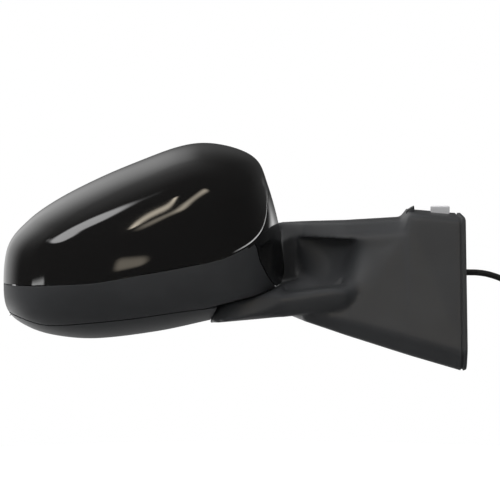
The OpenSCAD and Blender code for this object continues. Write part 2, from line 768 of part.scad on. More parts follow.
// Bosses for the cover's screws, from the door end inwards
module cover_boss(at) {
    p = foot_at(at);
    difference() {
        union() {
            hull() {
                along_x(-30, -28) translate(p) circle(r = 3, $fn = 12);
                along_x(-gasket_thick - 7, -gasket_thick - 6) translate(p) circle(r = 4.5, $fn = 16);
            }
            hull() {
                along_x(-29, -12) translate(p) circle(r = 1, $fn = 8);
                along_x(-29, -12) translate(p * 1.4) circle(r = 1, $fn = 8);
            }
        }
        along_x(-24, 0) translate(p) circle(r = screw_r + slip, $fn = 24);
    }
}
module foot_cover() {
    color("#333436") difference() {
        union() {
            foot_blade(0);
            foot_arm(0);
            door_tab();
        }
        difference() {
            union() {
                foot_blade(cover_wall);
                foot_arm(cover_wall);
            }
            for (at = cover_screw_points) cover_boss(at);
        }
        on_fold_axis() translate([0, 0, -6]) cylinder(r = floor_r + gap, h = 8, $fn = 64);
        clip_hole(gap);
    }
}
clip_size = [15.5, 5, 12];
module clip_hole(grow) {
    translate([foot_x(-26) - grow, 18 - grow, foot_height / 2 - 5]) cube(clip_size + [2 * grow, 2 * grow, 0]);
}
// Upstanding tab where the foot's top edge steps up
module door_tab() {
    top = foot_height / 2;
    hull() {
        translate([foot_x(-47.5), 0, top - 1]) cube([0.5, 14, 2.5]);
        translate([foot_x(-41.6), 3, top - 1]) cube([1, 9, 7.4]);
    }
}

// Plate and arm of the die-cast base
casting_line = [[-50, -46], [-43, -55], [39, -53], [39, 54], [-21, 54]];
bush_points = [for (a = [90, 210, 330]) bolt_circle_r * [cos(a), sin(a)]];
cable_at = [8, 14.4];
module base_casting() {
    plate = -gasket_thick;
    color("#6f7275") difference() {
        union() {
            along_x(plate - 5.5, plate) polygon([for (p = casting_line) foot_at(p)]);
            for (at = bush_points) along_x(plate - 12, plate) translate(at) circle(r = bush_r + 3);
            along_y(-11, 11) polygon([[-8, -40], [-8, 30], [foot_x(-60), 4], [foot_x(-100), 0],
                [foot_x(-170), -11], [foot_x(-170), -15], [foot_x(-140), -15.5], [foot_x(-112), -20],
                [foot_x(-50), -38]]);
            on_fold_axis() translate([0, 0, -11]) cylinder(r = floor_r, h = 11 + disc_top);
        }
        on_fold_axis() translate([0, 0, -20]) cylinder(r = post_r - 2.4, h = 40);
        on_fold_axis() translate([0, 0, disc_top - 7]) cylinder(r = post_r + 0.01, h = 20);
        for (at = bush_points) {
            along_x(plate - 20, 1) translate(at) circle(r = bush_r + 0.01);
            along_x(plate - 20, plate - 12) translate(at) circle(r = bush_r + 2 + gap);
        }
        along_x(-60, 1) translate(cable_at) circle(r = grommet_r);
        for (at = cover_screw_points) along_x(plate - 20, 1) translate(foot_at(at))
            circle(r = screw_r + 0.1);
    }
}
cover_screw_points = [[-38, -44], [30, -44], [30, 44]];
module cover_screws() {
    color("#b8bcc0") for (at = cover_screw_points)
        translate([-gasket_thick, foot_at(at)[0], foot_at(at)[1]]) rotate([0, 90, 0]) screw(14);
}

module door_gasket() {
    line = sections[0][1];
    middle = [-4, 0];
    lip = gasket_thick * 0.7;
    color("#1a1a1a") difference() {
        union() {
            along_x(-gasket_thick, 0) polygon([for (p = line) foot_at(p) * 0.965]);
            along_x(-lip, 0) polygon([for (p = eased([for (q = line) foot_at(q)], corner_r, 4)) p]);
        }
        along_x(-gasket_thick - 1, 1) polygon([for (p = line) foot_at(middle + (p - middle) * 0.8)]);
    }
}
// Threaded bushes that are pressed into the casting from behind and end at the door face
module door_bushes() {
    back = -gasket_thick - 12;
    collar = 2;
    color("#c3c6c9") for (at = bush_points) difference() {
        union() {
            along_x(back, 0) translate(at) circle(r = bush_r);
            along_x(back - collar, back) translate(at) circle(r = bush_r + 2);
        }
        along_x(back - collar - 1, 1) translate(at) circle(r = bolt_hole_r);
    }
}
module locating_clip() {
    color("#a3a4a6") {
        translate([foot_x(-26), 18, foot_height / 2 - 7]) cube([clip_size[0], clip_size[1], 12.5]);
        translate([foot_x(-26), 14, foot_height / 2 - 7]) cube([clip_size[0], 13, 2]);
    }
}

// ---------------------------------------------------------------- cable

grommet_r = 8;
cable_route = [[2, 8, 14.4], [6, 8, 14.4], [12, 8, 14.2], [20, 8, 13], [30, 8, 9.8], [40, 8, 5], [49, 8, -1],
    [57, 8, -9], [63, 8, -20], [67, 8, -33], [69, 8, -48], [70, 8, -65], [70, 8, -90],
    [70, 8, -120], [70, 8, -150], [70, 8, -178]];
module cable_grommet() {
    color("#151515") translate([0, cable_at[0], cable_at[1]]) rotate([0, 90, 0]) {
        translate([0, 0, -gasket_thick - 5.5]) cylinder(r = grommet_r, h = 5.5);
        translate([0, 0, -gasket_thick]) cylinder(r = grommet_r + 2, h = 2);
        translate([0, 0, -gasket_thick + 2]) cylinder(r1 = grommet_r - 2, r2 = cable_d / 2 + 1, h = gasket_thick);
    }
}
module cable() {
    sides = 10;
    r = cable_d / 2;
    line = open_curve(cable_route, 2);
    n = len(line) - 1;
    side = [0, 1, 0];
    points = [for (i = [0:n], k = [0:sides - 1])
        let (d = turned(line[min(i + 1, n)] - line[max(i - 1, 0)]), up = cross(d, side),
            a = 360 * k / sides)
        line[i] + r * (cos(a) * side + sin(a) * up)];
    faces = concat([for (i = [0:n - 1]) each strip(i * sides, (i + 1) * sides, sides)],
        [[for (k = [0:sides - 1]) k]], [[for (k = [sides - 1:-1:0]) n * sides + k]]);
    color("#121212") polyhedron(points, faces, convexity = 6);
}
plug_top = cable_route[len(cable_route) - 1];
module cable_plug() {
    color("#1c1c1e") translate(plug_top) {
        translate([0, 0, -6]) cylinder(r = cable_d / 2 + 1.5, h = 6);
        difference() {
            translate([-11, -7, -32]) cube([22, 14, 26.5]);
            translate([-9.4, -5.4, -33]) cube([18.8, 10.8, 16]);
        }
        translate([-3, 7, -22]) cube([6, 2.2, 14]);
    }
}
module plug_pins() {
    color("#b9a26a") translate(plug_top) for (i = [-2:2], row = [-1, 1])
        translate([i * 3.2 - 0.4, row * 2.4 - 0.4, -29]) cube([0.8, 0.8, 12]);
}

painted_cap();
side_band();
lower_cover();
rear_bezel();
mirror_glass();
glass_holder();
gimbal_ring();
pitch_plunger();
yaw_plunger();
pitch_wheel();
yaw_wheel();
pitch_worm();
yaw_worm();
pitch_motor();
yaw_motor();
actuator_base();
actuator_cover();
actuator_screws();
head_frame();
frame_screws();
foot_cover();
base_casting();
pivot_post();
bearing_washer();
stop_ring();
spring_seat();
fold_spring();
retaining_ring();
door_gasket();
door_bushes();
cover_screws();
locating_clip();
cable_grommet();
cable();
cable_plug();
plug_pins();
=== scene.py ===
"""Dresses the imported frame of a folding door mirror: head shells, foot, glass, seal, plug and cable."""
import math
from functools import cache

import bmesh
import bpy
import numpy as np
from bmesh import ops
from bmesh.types import BMEdge, BMVert
from bpy.props import FloatProperty, FloatVectorProperty, PointerProperty
from bpy.types import Operator
from mathutils import Matrix, Vector
from numpy.linalg import norm


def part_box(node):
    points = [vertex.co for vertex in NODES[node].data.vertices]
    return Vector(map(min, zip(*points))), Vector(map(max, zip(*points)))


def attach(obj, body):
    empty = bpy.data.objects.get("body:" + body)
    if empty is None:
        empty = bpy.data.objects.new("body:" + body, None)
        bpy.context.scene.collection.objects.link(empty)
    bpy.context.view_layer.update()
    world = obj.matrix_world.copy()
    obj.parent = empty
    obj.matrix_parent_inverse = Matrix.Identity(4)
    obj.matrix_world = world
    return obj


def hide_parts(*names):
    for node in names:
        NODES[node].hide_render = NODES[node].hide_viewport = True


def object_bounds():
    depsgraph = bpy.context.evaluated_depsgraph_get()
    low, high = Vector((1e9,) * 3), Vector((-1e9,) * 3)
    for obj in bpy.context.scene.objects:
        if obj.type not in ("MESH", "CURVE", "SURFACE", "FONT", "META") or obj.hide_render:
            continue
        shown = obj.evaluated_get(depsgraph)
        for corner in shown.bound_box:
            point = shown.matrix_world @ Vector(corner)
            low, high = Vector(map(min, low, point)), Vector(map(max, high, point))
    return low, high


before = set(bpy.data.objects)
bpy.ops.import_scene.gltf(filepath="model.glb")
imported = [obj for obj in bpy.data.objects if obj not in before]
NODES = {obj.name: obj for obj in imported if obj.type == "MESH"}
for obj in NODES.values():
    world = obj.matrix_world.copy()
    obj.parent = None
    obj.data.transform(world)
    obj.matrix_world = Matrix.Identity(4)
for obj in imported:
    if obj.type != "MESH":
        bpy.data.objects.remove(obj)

bl_info = {
    "name": "Folding Door Mirror",
    "version": (1, 0, 0),
    "blender": (4, 5, 0),
    "location": "View3D > Sidebar > Door Mirror",
    "description": "Builds the shells, foot, glass and cable of a folding door mirror on its frame",
    "category": "Add Mesh",
}

CAD_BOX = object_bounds()
MM = 0.001
TURN = 2 * math.pi

# --- sizes and colours


def length(label, text, default, least):
    return FloatProperty(name=label, description=text, default=default, min=least, unit="LENGTH")


def colour(label, text, value):
    return FloatVectorProperty(name=label, description=text, subtype="COLOR", size=3, min=0, max=1,
                               default=value)


class MirrorSizes(bpy.types.PropertyGroup):
    """Sizes of the dressed pieces."""

    shell_wall: length("Shell wall", "Wall of the moulded shells", 2.5 * MM, 0.001)
    seam_gap: length("Seam gap", "Gap that shows between two shells", 0.6 * MM, 0.0001)
    edge_radius: length("Edge radius", "Rounding of the shells' edges", 0.5 * MM, 0.0001)
    cable_diameter: length("Cable diameter", "Outside diameter of the cable", 5 * MM, 0.001)
    camera_distance: length("Camera distance", "Distance from the camera to the object", 2.847, 0.2)
    camera_elevation: FloatProperty(name="Camera elevation", description="Height of the camera's view",
                                    default=math.radians(4), subtype="ANGLE", unit="ROTATION")


class MirrorColours(bpy.types.PropertyGroup):
    """Colours of the finishes."""

    paint: colour("Paint", "Gloss paint of the cap", (0.0045, 0.0043, 0.0042))
    grained: colour("Grained plastic", "Moulded plastic of the housing and foot", (0.0202, 0.0210, 0.0226))
    trim: colour("Gloss trim", "Moulded gloss trim of the inboard wall", (0.004, 0.004, 0.0042))
    rubber: colour("Rubber", "Grommet", (0.014, 0.014, 0.014))
    clip: colour("Clip", "Light moulded clip", (0.52, 0.52, 0.53))
    jacket: colour("Cable jacket", "Jacket of the cable", (0.010, 0.010, 0.010))
    zinc: colour("Zinc plate", "Bushes, screws and pivot", (0.62, 0.63, 0.64))
    alloy: colour("Cast alloy", "Base casting", (0.42, 0.43, 0.44))
    nylon: colour("Nylon", "Inner mouldings and plug", (0.022, 0.022, 0.023))
    acetal: colour("Acetal", "Drive parts", (0.72, 0.70, 0.64))
    brass: colour("Brass", "Worms and contacts", (0.70, 0.52, 0.24))


def sizes():
    return bpy.context.scene.mirror_sizes


def colours():
    return bpy.context.scene.mirror_colours


# --- materials

PAINTED_EDGE_HIGHLIGHT = "painted_highlight"  # mesh attribute: 1 along the cap's rolled edge, where a highlight is painted into the paint's colour


def arithmetic(operation, swapped=False):
    """Method that adds a Math node; swapped puts the other value first."""
    def method(field, other):
        values = (other, field) if swapped else (field, other)
        return field.finish.node("Math", {"operation": operation}, *values)
    return method


class Field:
    """A value that varies over a surface, which takes part in arithmetic."""

    def __init__(self, finish, socket):
        self.finish = finish
        self.socket = socket

    __add__, __radd__ = arithmetic("ADD"), arithmetic("ADD", True)
    __sub__, __rsub__ = arithmetic("SUBTRACT"), arithmetic("SUBTRACT", True)
    __mul__, __rmul__ = arithmetic("MULTIPLY"), arithmetic("MULTIPLY", True)
    least, most = arithmetic("MINIMUM"), arithmetic("MAXIMUM")

    def clamp(self):
        """Kept between 0 and 1."""
        return self.most(0.0).least(1.0)

    def smooth(self, low, high):
        """0 below low, 1 above high and an eased step between."""
        return self.finish.node("MapRange", {"interpolation_type": "SMOOTHSTEP"},
                                Value=self, From_Min=low, From_Max=high)


class Finish:
    """A procedural material, with its nodes made by one method."""

    def __init__(self, name, tree=None):
        if tree is None:
            self.material = bpy.data.materials.new(name)
            self.material.use_nodes = True
            tree = self.material.node_tree
        self.tree = tree
        tree.nodes.clear()

    def node(self, kind, settings=None, *values, out=0, **named):
        """Adds a node: its settings, the values or links of its sockets by order or name (with _ for
        a space), and the number of the output that is passed on."""
        made = self.tree.nodes.new("ShaderNode" + kind)
        for key, value in (settings or {}).items():
            setattr(made, key, value)
        for place, value in list(enumerate(values)) + list(named.items()):
            socket = made.inputs[place.replace("_", " ") if isinstance(place, str) else place]
            if isinstance(value, Field):
                self.tree.links.new(value.socket, socket)
            elif value is not None:
                socket.default_value = value
        return Field(self, made.outputs[out]) if made.outputs else None

    def place(self, stretch=(1, 1, 1)):
        """Object coordinates, stretched."""
        here = self.node("TexCoord", out=3)
        return self.node("Mapping", Vector=here, Scale=stretch)

    def noise(self, scale, detail=3.0, roughness=0.5, stretch=(1, 1, 1)):
        return self.node("TexNoise", Vector=self.place(stretch), Scale=scale, Detail=detail,
                         Roughness=roughness)

    def cells(self, scale, feature="F1"):
        return self.node("TexVoronoi", {"feature": feature}, Vector=self.place(), Scale=scale)

    def mix(self, share, low, high):
        """Colour that goes from low to high with share."""
        unused = [None] * 5
        return self.node("Mix", {"data_type": "RGBA"}, share, *unused, low, high, out=2)

    def shades(self, share, base, low, high):
        """Colour that goes from low to high times the base colour with share."""
        return self.mix(share, tint(base, low), tint(base, high))

    def bump(self, height, strength, distance):
        return self.node("Bump", Height=height, Strength=strength, Distance=distance)

    def ray(self, kind):
        """1 for rays of one kind, 0 for others."""
        return Field(self, self.node("LightPath").socket.node.outputs[f"Is {kind} Ray"])

    def surface(self, **inputs):
        self.node("OutputMaterial", None, self.node("BsdfPrincipled", **inputs))
        return self.material


def tint(base, factor=1.0):
    return (*[min(1.0, c * factor) for c in base], 1)


def gloss_paint():
    f = Finish("gloss_paint")
    orange_peel = f.noise(420, 1.0, 0.4)
    dust = f.noise(2600, 2.0, 0.7).smooth(0.68, 0.8)
    painted_highlight = f.node("Attribute", {"attribute_name": PAINTED_EDGE_HIGHLIGHT}, out=2)
    dusty = f.mix(dust * 0.35, tint(colours().paint), (0.03, 0.029, 0.028, 1))
    # Light grey painted into the paint's colour along the rolled edge: a painted highlight, not a real
    # change of finish
    return f.surface(Base_Color=f.mix(painted_highlight, dusty, (0.62, 0.62, 0.62, 1)),
                     Roughness=0.055 + dust * 0.05, Specular_IOR_Level=0.42,
                     Coat_Weight=0.35, Coat_Roughness=0.03,
                     Normal=f.bump(orange_peel, 0.02, 0.00006))


def grained_plastic():
    f = Finish("grained_plastic")
    grain = f.cells(900, "SMOOTH_F1") * 0.7 + f.noise(2400, 2.0, 0.6) * 0.3
    cloud = f.noise(18, 3.0, 0.55)
    return f.surface(Base_Color=f.shades(cloud.smooth(0.3, 0.7), colours().grained, 0.9, 1.12),
                     Roughness=0.42 + cloud * 0.06 + grain * 0.06, Normal=f.bump(grain, 0.16, 0.00012))


def gloss_trim():
    f = Finish("gloss_trim")
    ripple = f.noise(160, 1.0, 0.4)
    return f.surface(Base_Color=tint(colours().trim), Roughness=0.07 + ripple * 0.02,
                     Normal=f.bump(ripple, 0.02, 0.0001))


def mirror_silver():
    f = Finish("mirror_silver")
    return f.surface(Base_Color=(0.83, 0.85, 0.86, 1), Metallic=1.0,
                     Roughness=0.012 + f.noise(40, 2.0) * 0.01)


def foam_rubber():
    f = Finish("foam_rubber")
    pores = f.cells(700)
    return f.surface(Base_Color=f.shades(pores.smooth(0.1, 0.5), colours().rubber, 0.7, 1.2),
                     Roughness=0.86, Specular_IOR_Level=0.35, Normal=f.bump(pores, 0.5, 0.0003))


def plain_plastic(name, base, roughness, grain=0.1):
    f = Finish(name)
    fine = f.noise(1300, 2.0, 0.6)
    return f.surface(Base_Color=f.shades(f.noise(25, 2.0), base, 0.93, 1.06),
                     Roughness=roughness + fine * 0.08, Normal=f.bump(fine, grain, 0.00008))


def plated_metal(name, base, roughness, stretch=(1, 1, 1)):
    f = Finish(name)
    streak = f.noise(500, 2.0, 0.6, stretch)
    blotch = f.noise(60, 3.0, 0.6)
    return f.surface(Base_Color=f.shades(blotch, base, 0.86, 1.05), Metallic=1.0,
                     Roughness=roughness + streak * 0.14 + blotch * 0.05,
                     Normal=f.bump(streak, 0.05, 0.00005))


def cast_metal():
    f = Finish("cast_alloy")
    skin = f.noise(900, 3.0, 0.65)
    return f.surface(Base_Color=f.shades(f.noise(35, 3.0, 0.6), colours().alloy, 0.82, 1.06),
                     Metallic=0.85, Roughness=0.46 + skin * 0.2, Normal=f.bump(skin, 0.35, 0.0002))


def cable_jacket():
    f = Finish("cable_jacket")
    scuff = f.noise(300, 3.0, 0.6)
    return f.surface(Base_Color=f.shades(scuff.smooth(0.55, 0.75), colours().jacket, 1.0, 2.0),
                     Roughness=0.38 + scuff * 0.15, Normal=f.bump(scuff, 0.06, 0.0001))


@cache
def finishes():
    """Every finish once, by name."""
    c = colours()
    return {
        "paint": gloss_paint(), "grained": grained_plastic(), "trim": gloss_trim(),
        "mirror": mirror_silver(), "rubber": foam_rubber(), "cast": cast_metal(),
        "seal": plain_plastic("seal_skin", c.grained, 0.5, 0.2),
        "clip": plain_plastic("clip_plastic", c.clip, 0.4, 0.06),
        "nylon": plain_plastic("black_nylon", c.nylon, 0.4),
        "acetal": plain_plastic("natural_acetal", c.acetal, 0.35, 0.05),
        "zinc": plated_metal("zinc_plate", c.zinc, 0.24),
        "spring": plated_metal("spring_steel", (0.36, 0.37, 0.39), 0.3),
        "can": plated_metal("motor_can", (0.52, 0.53, 0.54), 0.22, (1, 1, 12)),
        "brass": plated_metal("brass", c.brass, 0.22),
        "jacket": cable_jacket()}


# --- lines

def spline(points, steps, closed=False):
    """Smooth curve through points, with steps from one point to the next."""
    p = np.array(points, float)
    before, after = (p[-1:], p[:2]) if closed else (p[:1], p[-1:])
    p = np.concatenate([before, p, after])
    line = []
    for a, b, c, d in zip(p, p[1:], p[2:], p[3:]):
        for k in range(steps):
            t = k / steps
            line.append(0.5 * (2 * b + (c - a) * t + (2 * a - 5 * b + 4 * c - d) * t * t
                               + (3 * b - a - 3 * c + d) * t ** 3))
    return np.array(line if closed else [*line, p[-1]])


def spaced(values, points, count):
    """Rows of values at count + 1 places that are evenly spaced along the line of points."""
    run = np.concatenate([[0], np.cumsum(norm(np.diff(points, axis=0), axis=1))])
    at = np.linspace(0, run[-1], count + 1)
    return np.stack([np.interp(at, run, values[:, k]) for k in range(values.shape[1])], axis=1)


def even(line, count=900):
    """The same line as count + 1 points, evenly spaced."""
    line = np.array(line, float)
    return spaced(line, line, count)


def joined(first, second, count=300):
    """One even line along first and on along second, which starts where first ends."""
    return even(np.concatenate([first, second[1:]]), count)


def sampled(line, u):
    """Point of an evenly spaced line at the share u of its length."""
    f = u * (len(line) - 1)
    i = min(int(f), len(line) - 2)
    return line[i] + (line[i + 1] - line[i]) * (f - i)


def between(line, start, end, count=200):
    """Stretch of a line between its points nearest to start and end."""
    i, j = (int(np.argmin(norm(line - np.array(p), axis=1))) for p in (start, end))
    return even(line[i:j + 1] if i < j else line[j:i + 1][::-1], count)


def shifted(line, gap):
    """Line moved to its left by gap."""
    run = np.gradient(line, axis=0)
    side = np.stack([-run[:, 1], run[:, 0]], axis=1)
    return line + side / norm(side, axis=1)[:, None] * gap


def meet(a, b):
    """Point where two lines cross."""
    gaps = norm(a[:, None] - b[None], axis=2)
    i, j = np.unravel_index(np.argmin(gaps), gaps.shape)
    return (a[i] + b[j]) / 2


def straight(a, b):
    """Short border from a to b, which may be one point."""
    steps = 5
    line = np.array([a + (b - a) * k for k in np.linspace(0, 1, steps)])
    return line + np.linspace(0, 1e-6, steps)[:, None]


def coons(bottom, top, left, right):
    """Surface between four border lines: bottom and top run along u, left and right along v."""
    c00, c10, c01, c11 = bottom[0], bottom[-1], top[0], top[-1]

    def place(u, v):
        return ((1 - v) * sampled(bottom, u) + v * sampled(top, u)
                + (1 - u) * sampled(left, v) + u * sampled(right, v)
                - (1 - u) * (1 - v) * c00 - u * (1 - v) * c10 - (1 - u) * v * c01 - u * v * c11)
    return place


def eased(points, radius, steps=4):
    """Outline with each corner rounded."""
    p = np.array(points, float)
    out = []
    for before, c, after in zip(np.roll(p, 1, axis=0), p, np.roll(p, -1, axis=0)):
        a, b = (c + (q - c) * min(0.45, radius / norm(q - c)) for q in (before, after))
        for k in range(steps + 1):
            t = k / steps
            out.append(a * (1 - t) ** 2 + c * 2 * t * (1 - t) + b * t * t)
    return out


# --- the head's form, in millimetres

# The rim and the seams as they are seen from the front
CROWN_LINE = [(-201, 6), (-197, 38), (-180, 59), (-156, 76), (-123, 93), (-90, 107), (-57, 119),
              (-33, 122), (-8, 117), (8, 107), (16, 88), (24, 60), (28, 35), (28.5, 12)]
SHELL_SILL = [(20, -9), (-5, -18), (-31, -23)]
BEZEL_SILL = [(13, 7.5), (-12, 0.8), (-31, -5), (-46, -18)]
KEEL_LINE = [(-74, -32), (-123, -38), (-156, -36), (-180, -29), (-197, -16)]
CAP_SEAM = [(-240, 6), (-188, 8), (-156, 10), (-123, 13), (-90, 19), (-57, 25), (-24, 32), (-8, 38.5),
            (4, 45.5), (11.5, 54), (15, 64), (16, 76), (17, 90), (24, 100)]
KEEL_SEAM = [(-240, -4), (-197, -16), (-172, -23.5), (-156, -24.5), (-123, -21), (-90, -17), (-57, -12),
             (-25, -8)]
WALL_SEAM = [(3, 48), (7, 41), (9.5, 31), (14, 21), (19, 12), (26, 2)]
SEAM_STEPS = 24
CROWN = np.array([-48.0, 40.0])
TIP_X = -201.0
HEAD_LENGTH = 230.0
HEAD_DEPTH = 87.0
RIM_Y = 36.0
HEART = (-60, 20, 30)  # a point within, which the shells face away from
LEAN = math.radians(14.5)
HEAD_AT = np.array([-175.0, 0.0, -3.3])


def row(x, y, z):
    """Point of the row frame, in metres, for a point of the head."""
    return Vector(((x + HEAD_AT[0]) * MM, (y + HEAD_AT[1]) * MM, (z + HEAD_AT[2]) * MM))


def angle_of(p):
    """Angle about the crown of a point seen from the front."""
    return math.atan2(p[1] - CROWN[1], p[0] - CROWN[0]) % TURN


class Bowl:
    """Form of the head: from the rim it closes to the crown in rounded sections that are full at
    the inboard wall and softer at the tip."""

    def __init__(self):
        rim = spline(CROWN_LINE + SHELL_SILL + KEEL_LINE, 16, closed=True)
        away = rim - CROWN
        angle = np.unwrap(np.arctan2(away[:, 1], away[:, 0]))
        rim, away, angle = rim[::-1], away[::-1], angle[::-1]
        angle = angle - math.floor(angle[0] / TURN) * TURN
        self.angles = np.concatenate([angle - TURN, angle, angle + TURN])
        self.reaches = np.tile(np.hypot(away[:, 0], away[:, 1]), 3)
        self.xs = np.tile(rim[:, 0], 3)

    def section(self, angle):
        """Reach to the rim at an angle, and the section's exponent and draft there."""
        angle = (angle + TURN) % TURN
        reach = np.interp(angle, self.angles, self.reaches)
        u = (np.interp(angle, self.angles, self.xs) - TIP_X) / HEAD_LENGTH
        return reach, 2 / (2.2 + 1.6 * u ** 3), 0.17 * max(u, 0) ** 4

    def polar(self, point):
        """Angle and turn of the section, both in radians, of a point seen from the front."""
        away = np.array(point, float) - CROWN
        angle = math.atan2(away[1], away[0]) % TURN
        reach, p, draft = self.section(angle)
        share = min(1.0, math.hypot(*away) / reach)
        low, high = 0.0, math.pi / 2
        for _ in range(40):
            t = (low + high) / 2
            if math.cos(t) ** p * (1 - draft * math.sin(t) ** p) > share:
                low = t
            else:
                high = t
        return np.array([angle, (low + high) / 2 if share < 1 else 0.0])

    def at(self, angle, t):
        """Point of the surface, in the row frame, at an angle and a turn of the section."""
        reach, p, draft = self.section(angle)
        t = min(max(t, 0.0), math.pi / 2)
        depth = math.sin(t) ** p
        out = reach * math.cos(t) ** p * (1 - draft * depth)
        return row(CROWN[0] + out * math.cos(angle), RIM_Y - HEAD_DEPTH * depth,
                   CROWN[1] + out * math.sin(angle))

    def over(self, point):
        """Point of the surface in front of a point seen from the front."""
        return self.at(*self.polar(point))

    def holds(self, point):
        """Whether a point seen from the front lies within the rim."""
        away = point - CROWN
        return math.hypot(*away) < self.section(math.atan2(away[1], away[0]))[0]

    def crossing(self, a, b):
        """Point of the rim between a and b, of which one lies within it."""
        start = self.holds(a)
        for _ in range(30):
            m = (a + b) / 2
            a, b = (m, b) if self.holds(m) == start else (a, m)
        return (a + b) / 2

    def clipped(self, line):
        """The stretch of a line within the rim."""
        flags = [self.holds(p) for p in line]
        first = flags.index(True)
        last = len(flags) - 1 - flags[::-1].index(True)
        part = list(line[first:last + 1])
        if first > 0:
            part.insert(0, self.crossing(line[first - 1], line[first]))
        if last < len(line) - 1:
            part.append(self.crossing(line[last], line[last + 1]))
        return np.array(part)

    def rim(self, a, b, count=240):
        """Rim points between two angles."""
        return np.array([CROWN + self.section(t)[0] * np.array([math.cos(t), math.sin(t)])
                         for t in np.linspace(a, b, count)])

    def evenly(self, line):
        """Polar points along a line seen from the front, evenly spaced on the surface."""
        dense = np.array([self.polar(p) for p in even(line, 300)])
        dense[:, 0] = np.unwrap(dense[:, 0])
        return spaced(dense, np.array([self.at(*q) for q in dense]), 160)


def head_lines():
    """The head's form, half the seam gap, and the seams that several shells share."""
    seams = [spline(line, SEAM_STEPS) for line in (CAP_SEAM, KEEL_SEAM, WALL_SEAM)]
    return Bowl(), sizes().seam_gap / MM / 2, *seams


def bezel_rim(count):
    """Rim of the bezel as an even closed line, its first point once more at its end."""
    rim = spline(CROWN_LINE + BEZEL_SILL + KEEL_LINE, 14, closed=True)
    return even([*rim, CROWN_LINE[0]], count)


# --- pieces


def linked(name, data):
    """Object in the scene."""
    made = bpy.data.objects.new(name, data)
    bpy.context.scene.collection.objects.link(made)
    return made


def mesh_object(name, bm):
    """Object in the scene with the mesh that was built up."""
    mesh = bpy.data.meshes.new(name)
    bm.to_mesh(mesh)
    bm.free()
    return linked(name, mesh)


def coat(piece, finish):
    """Gives a piece one finish."""
    piece.data.materials.clear()
    piece.data.materials.append(finishes()[finish])


def carry(piece, body, node):
    """Rides a piece on its body, and hides the CAD node it replaces."""
    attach(piece, body)
    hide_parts(node)


def finish_piece(name, bm, body, finish, node, smooth=True):
    piece = mesh_object(name, bm)
    if smooth:
        piece.data.shade_smooth()
    coat(piece, finish)
    carry(piece, body, node)
    return piece


def add_modifier(piece, kind, **settings):
    made = piece.modifiers.new(kind.title(), kind)
    for key, value in settings.items():
        setattr(made, key, value)


def even_shading(piece):
    add_modifier(piece, "WEIGHTED_NORMAL", keep_sharp=True)


def rounded_edges(piece, width, angle=40):
    add_modifier(piece, "BEVEL", width=width, segments=2, limit_method="ANGLE",
                 angle_limit=math.radians(angle))
    even_shading(piece)


def walled(piece):
    add_modifier(piece, "SOLIDIFY", thickness=sizes().shell_wall, offset=-1)


def head_shell(name, bm, finish, node, edge_share=1.0):
    """Moulded shell of the head from an open sheet."""
    piece = finish_piece(name, bm, "head", finish, node)
    walled(piece)
    rounded_edges(piece, sizes().edge_radius * edge_share)


def apply_modifiers(piece):
    graph = bpy.context.evaluated_depsgraph_get()
    made = bpy.data.meshes.new_from_object(piece.evaluated_get(graph))
    piece.modifiers.clear()
    old = piece.data
    piece.data = made
    bpy.data.meshes.remove(old)


def built(make, *values):
    """Mesh that a function builds up from values."""
    bm = bmesh.new()
    make(bm, *values)
    return bm


def cut(piece, *forms, operation="DIFFERENCE"):
    """Cuts forms from a piece, each a function and its values, and applies the result."""
    tools = [mesh_object("tool", built(*form)) for form in forms]
    for tool in tools:
        add_modifier(piece, "BOOLEAN", object=tool, operation=operation, solver="MANIFOLD")
    apply_modifiers(piece)
    for tool in tools:
        bpy.data.objects.remove(tool)


def unite(piece, *forms):
    """Joins forms to a piece instead."""
    cut(piece, *forms, operation="UNION")


def edit(piece, change):
    """Changes a piece's own mesh."""
    bm = bmesh.new()
    bm.from_mesh(piece.data)
    change(bm)
    bm.to_mesh(piece.data)
    bm.free()


def face_outwards(bm):
    ops.recalc_face_normals(bm, faces=bm.faces)


def grid(columns, rows, place):
    """Sheet of squares whose corners are put where place says."""
    bm = bmesh.new()
    ops.create_grid(bm, x_segments=columns, y_segments=rows, size=1)
    for v in bm.verts:
        v.co = place((v.co.x + 1) / 2, (v.co.y + 1) / 2)
    ops.remove_doubles(bm, verts=bm.verts, dist=0.02 * MM)
    face_outwards(bm)
    return bm


def head_sheet(columns, rows, place):
    """Open sheet whose faces look away from the head's heart."""
    bm = grid(columns, rows, place)
    bm.normal_update()
    heart = row(*HEART)
    if sum(f.normal.dot(f.calc_center_median() - heart) * f.calc_area() for f in bm.faces) < 0:
        ops.reverse_faces(bm, faces=bm.faces)
    return bm


def shell_patch(bowl, columns, rows, *borders):
    """Sheet on the head between borders as seen from the front: bottom, top, left and right."""
    lines = [bowl.evenly(line) for line in borders]
    base = lines[0][0, 0]
    for line in lines:
        line[:, 0] += round((base - line[len(line) // 2, 0]) / TURN) * TURN
    place = coons(*lines)
    return head_sheet(columns, rows, lambda u, v: bowl.at(*place(u, v)))


def relax(bm, verts, passes, depth_only=False):
    """Smooths the places of vertices, or only how deep they lie."""
    for _ in range(passes):
        ops.smooth_vert(bm, verts=verts, factor=0.5, use_axis_x=not depth_only, use_axis_y=True,
                        use_axis_z=not depth_only)


def bevelled(bm, edges, width, segments, **more):
    ops.bevel(bm, geom=edges, offset=width * MM, segments=segments, profile=0.5, material=-1,
              affect="EDGES", **more)


def trimmed(bm, at, normal):
    """Cuts off what lies past a plane, and gives the edges of the cut."""
    made = ops.bisect_plane(bm, geom=bm.verts[:] + bm.edges[:] + bm.faces[:], dist=1e-6,
                            plane_co=at, plane_no=normal, clear_outer=True)
    return [g for g in made["geom_cut"] if isinstance(g, BMEdge)]


def ring(bm, points):
    """Edges of a closed ring through points."""
    verts = [bm.verts.new(p) for p in points]
    return [bm.edges.new((verts[i - 1], verts[i])) for i in range(len(verts))]


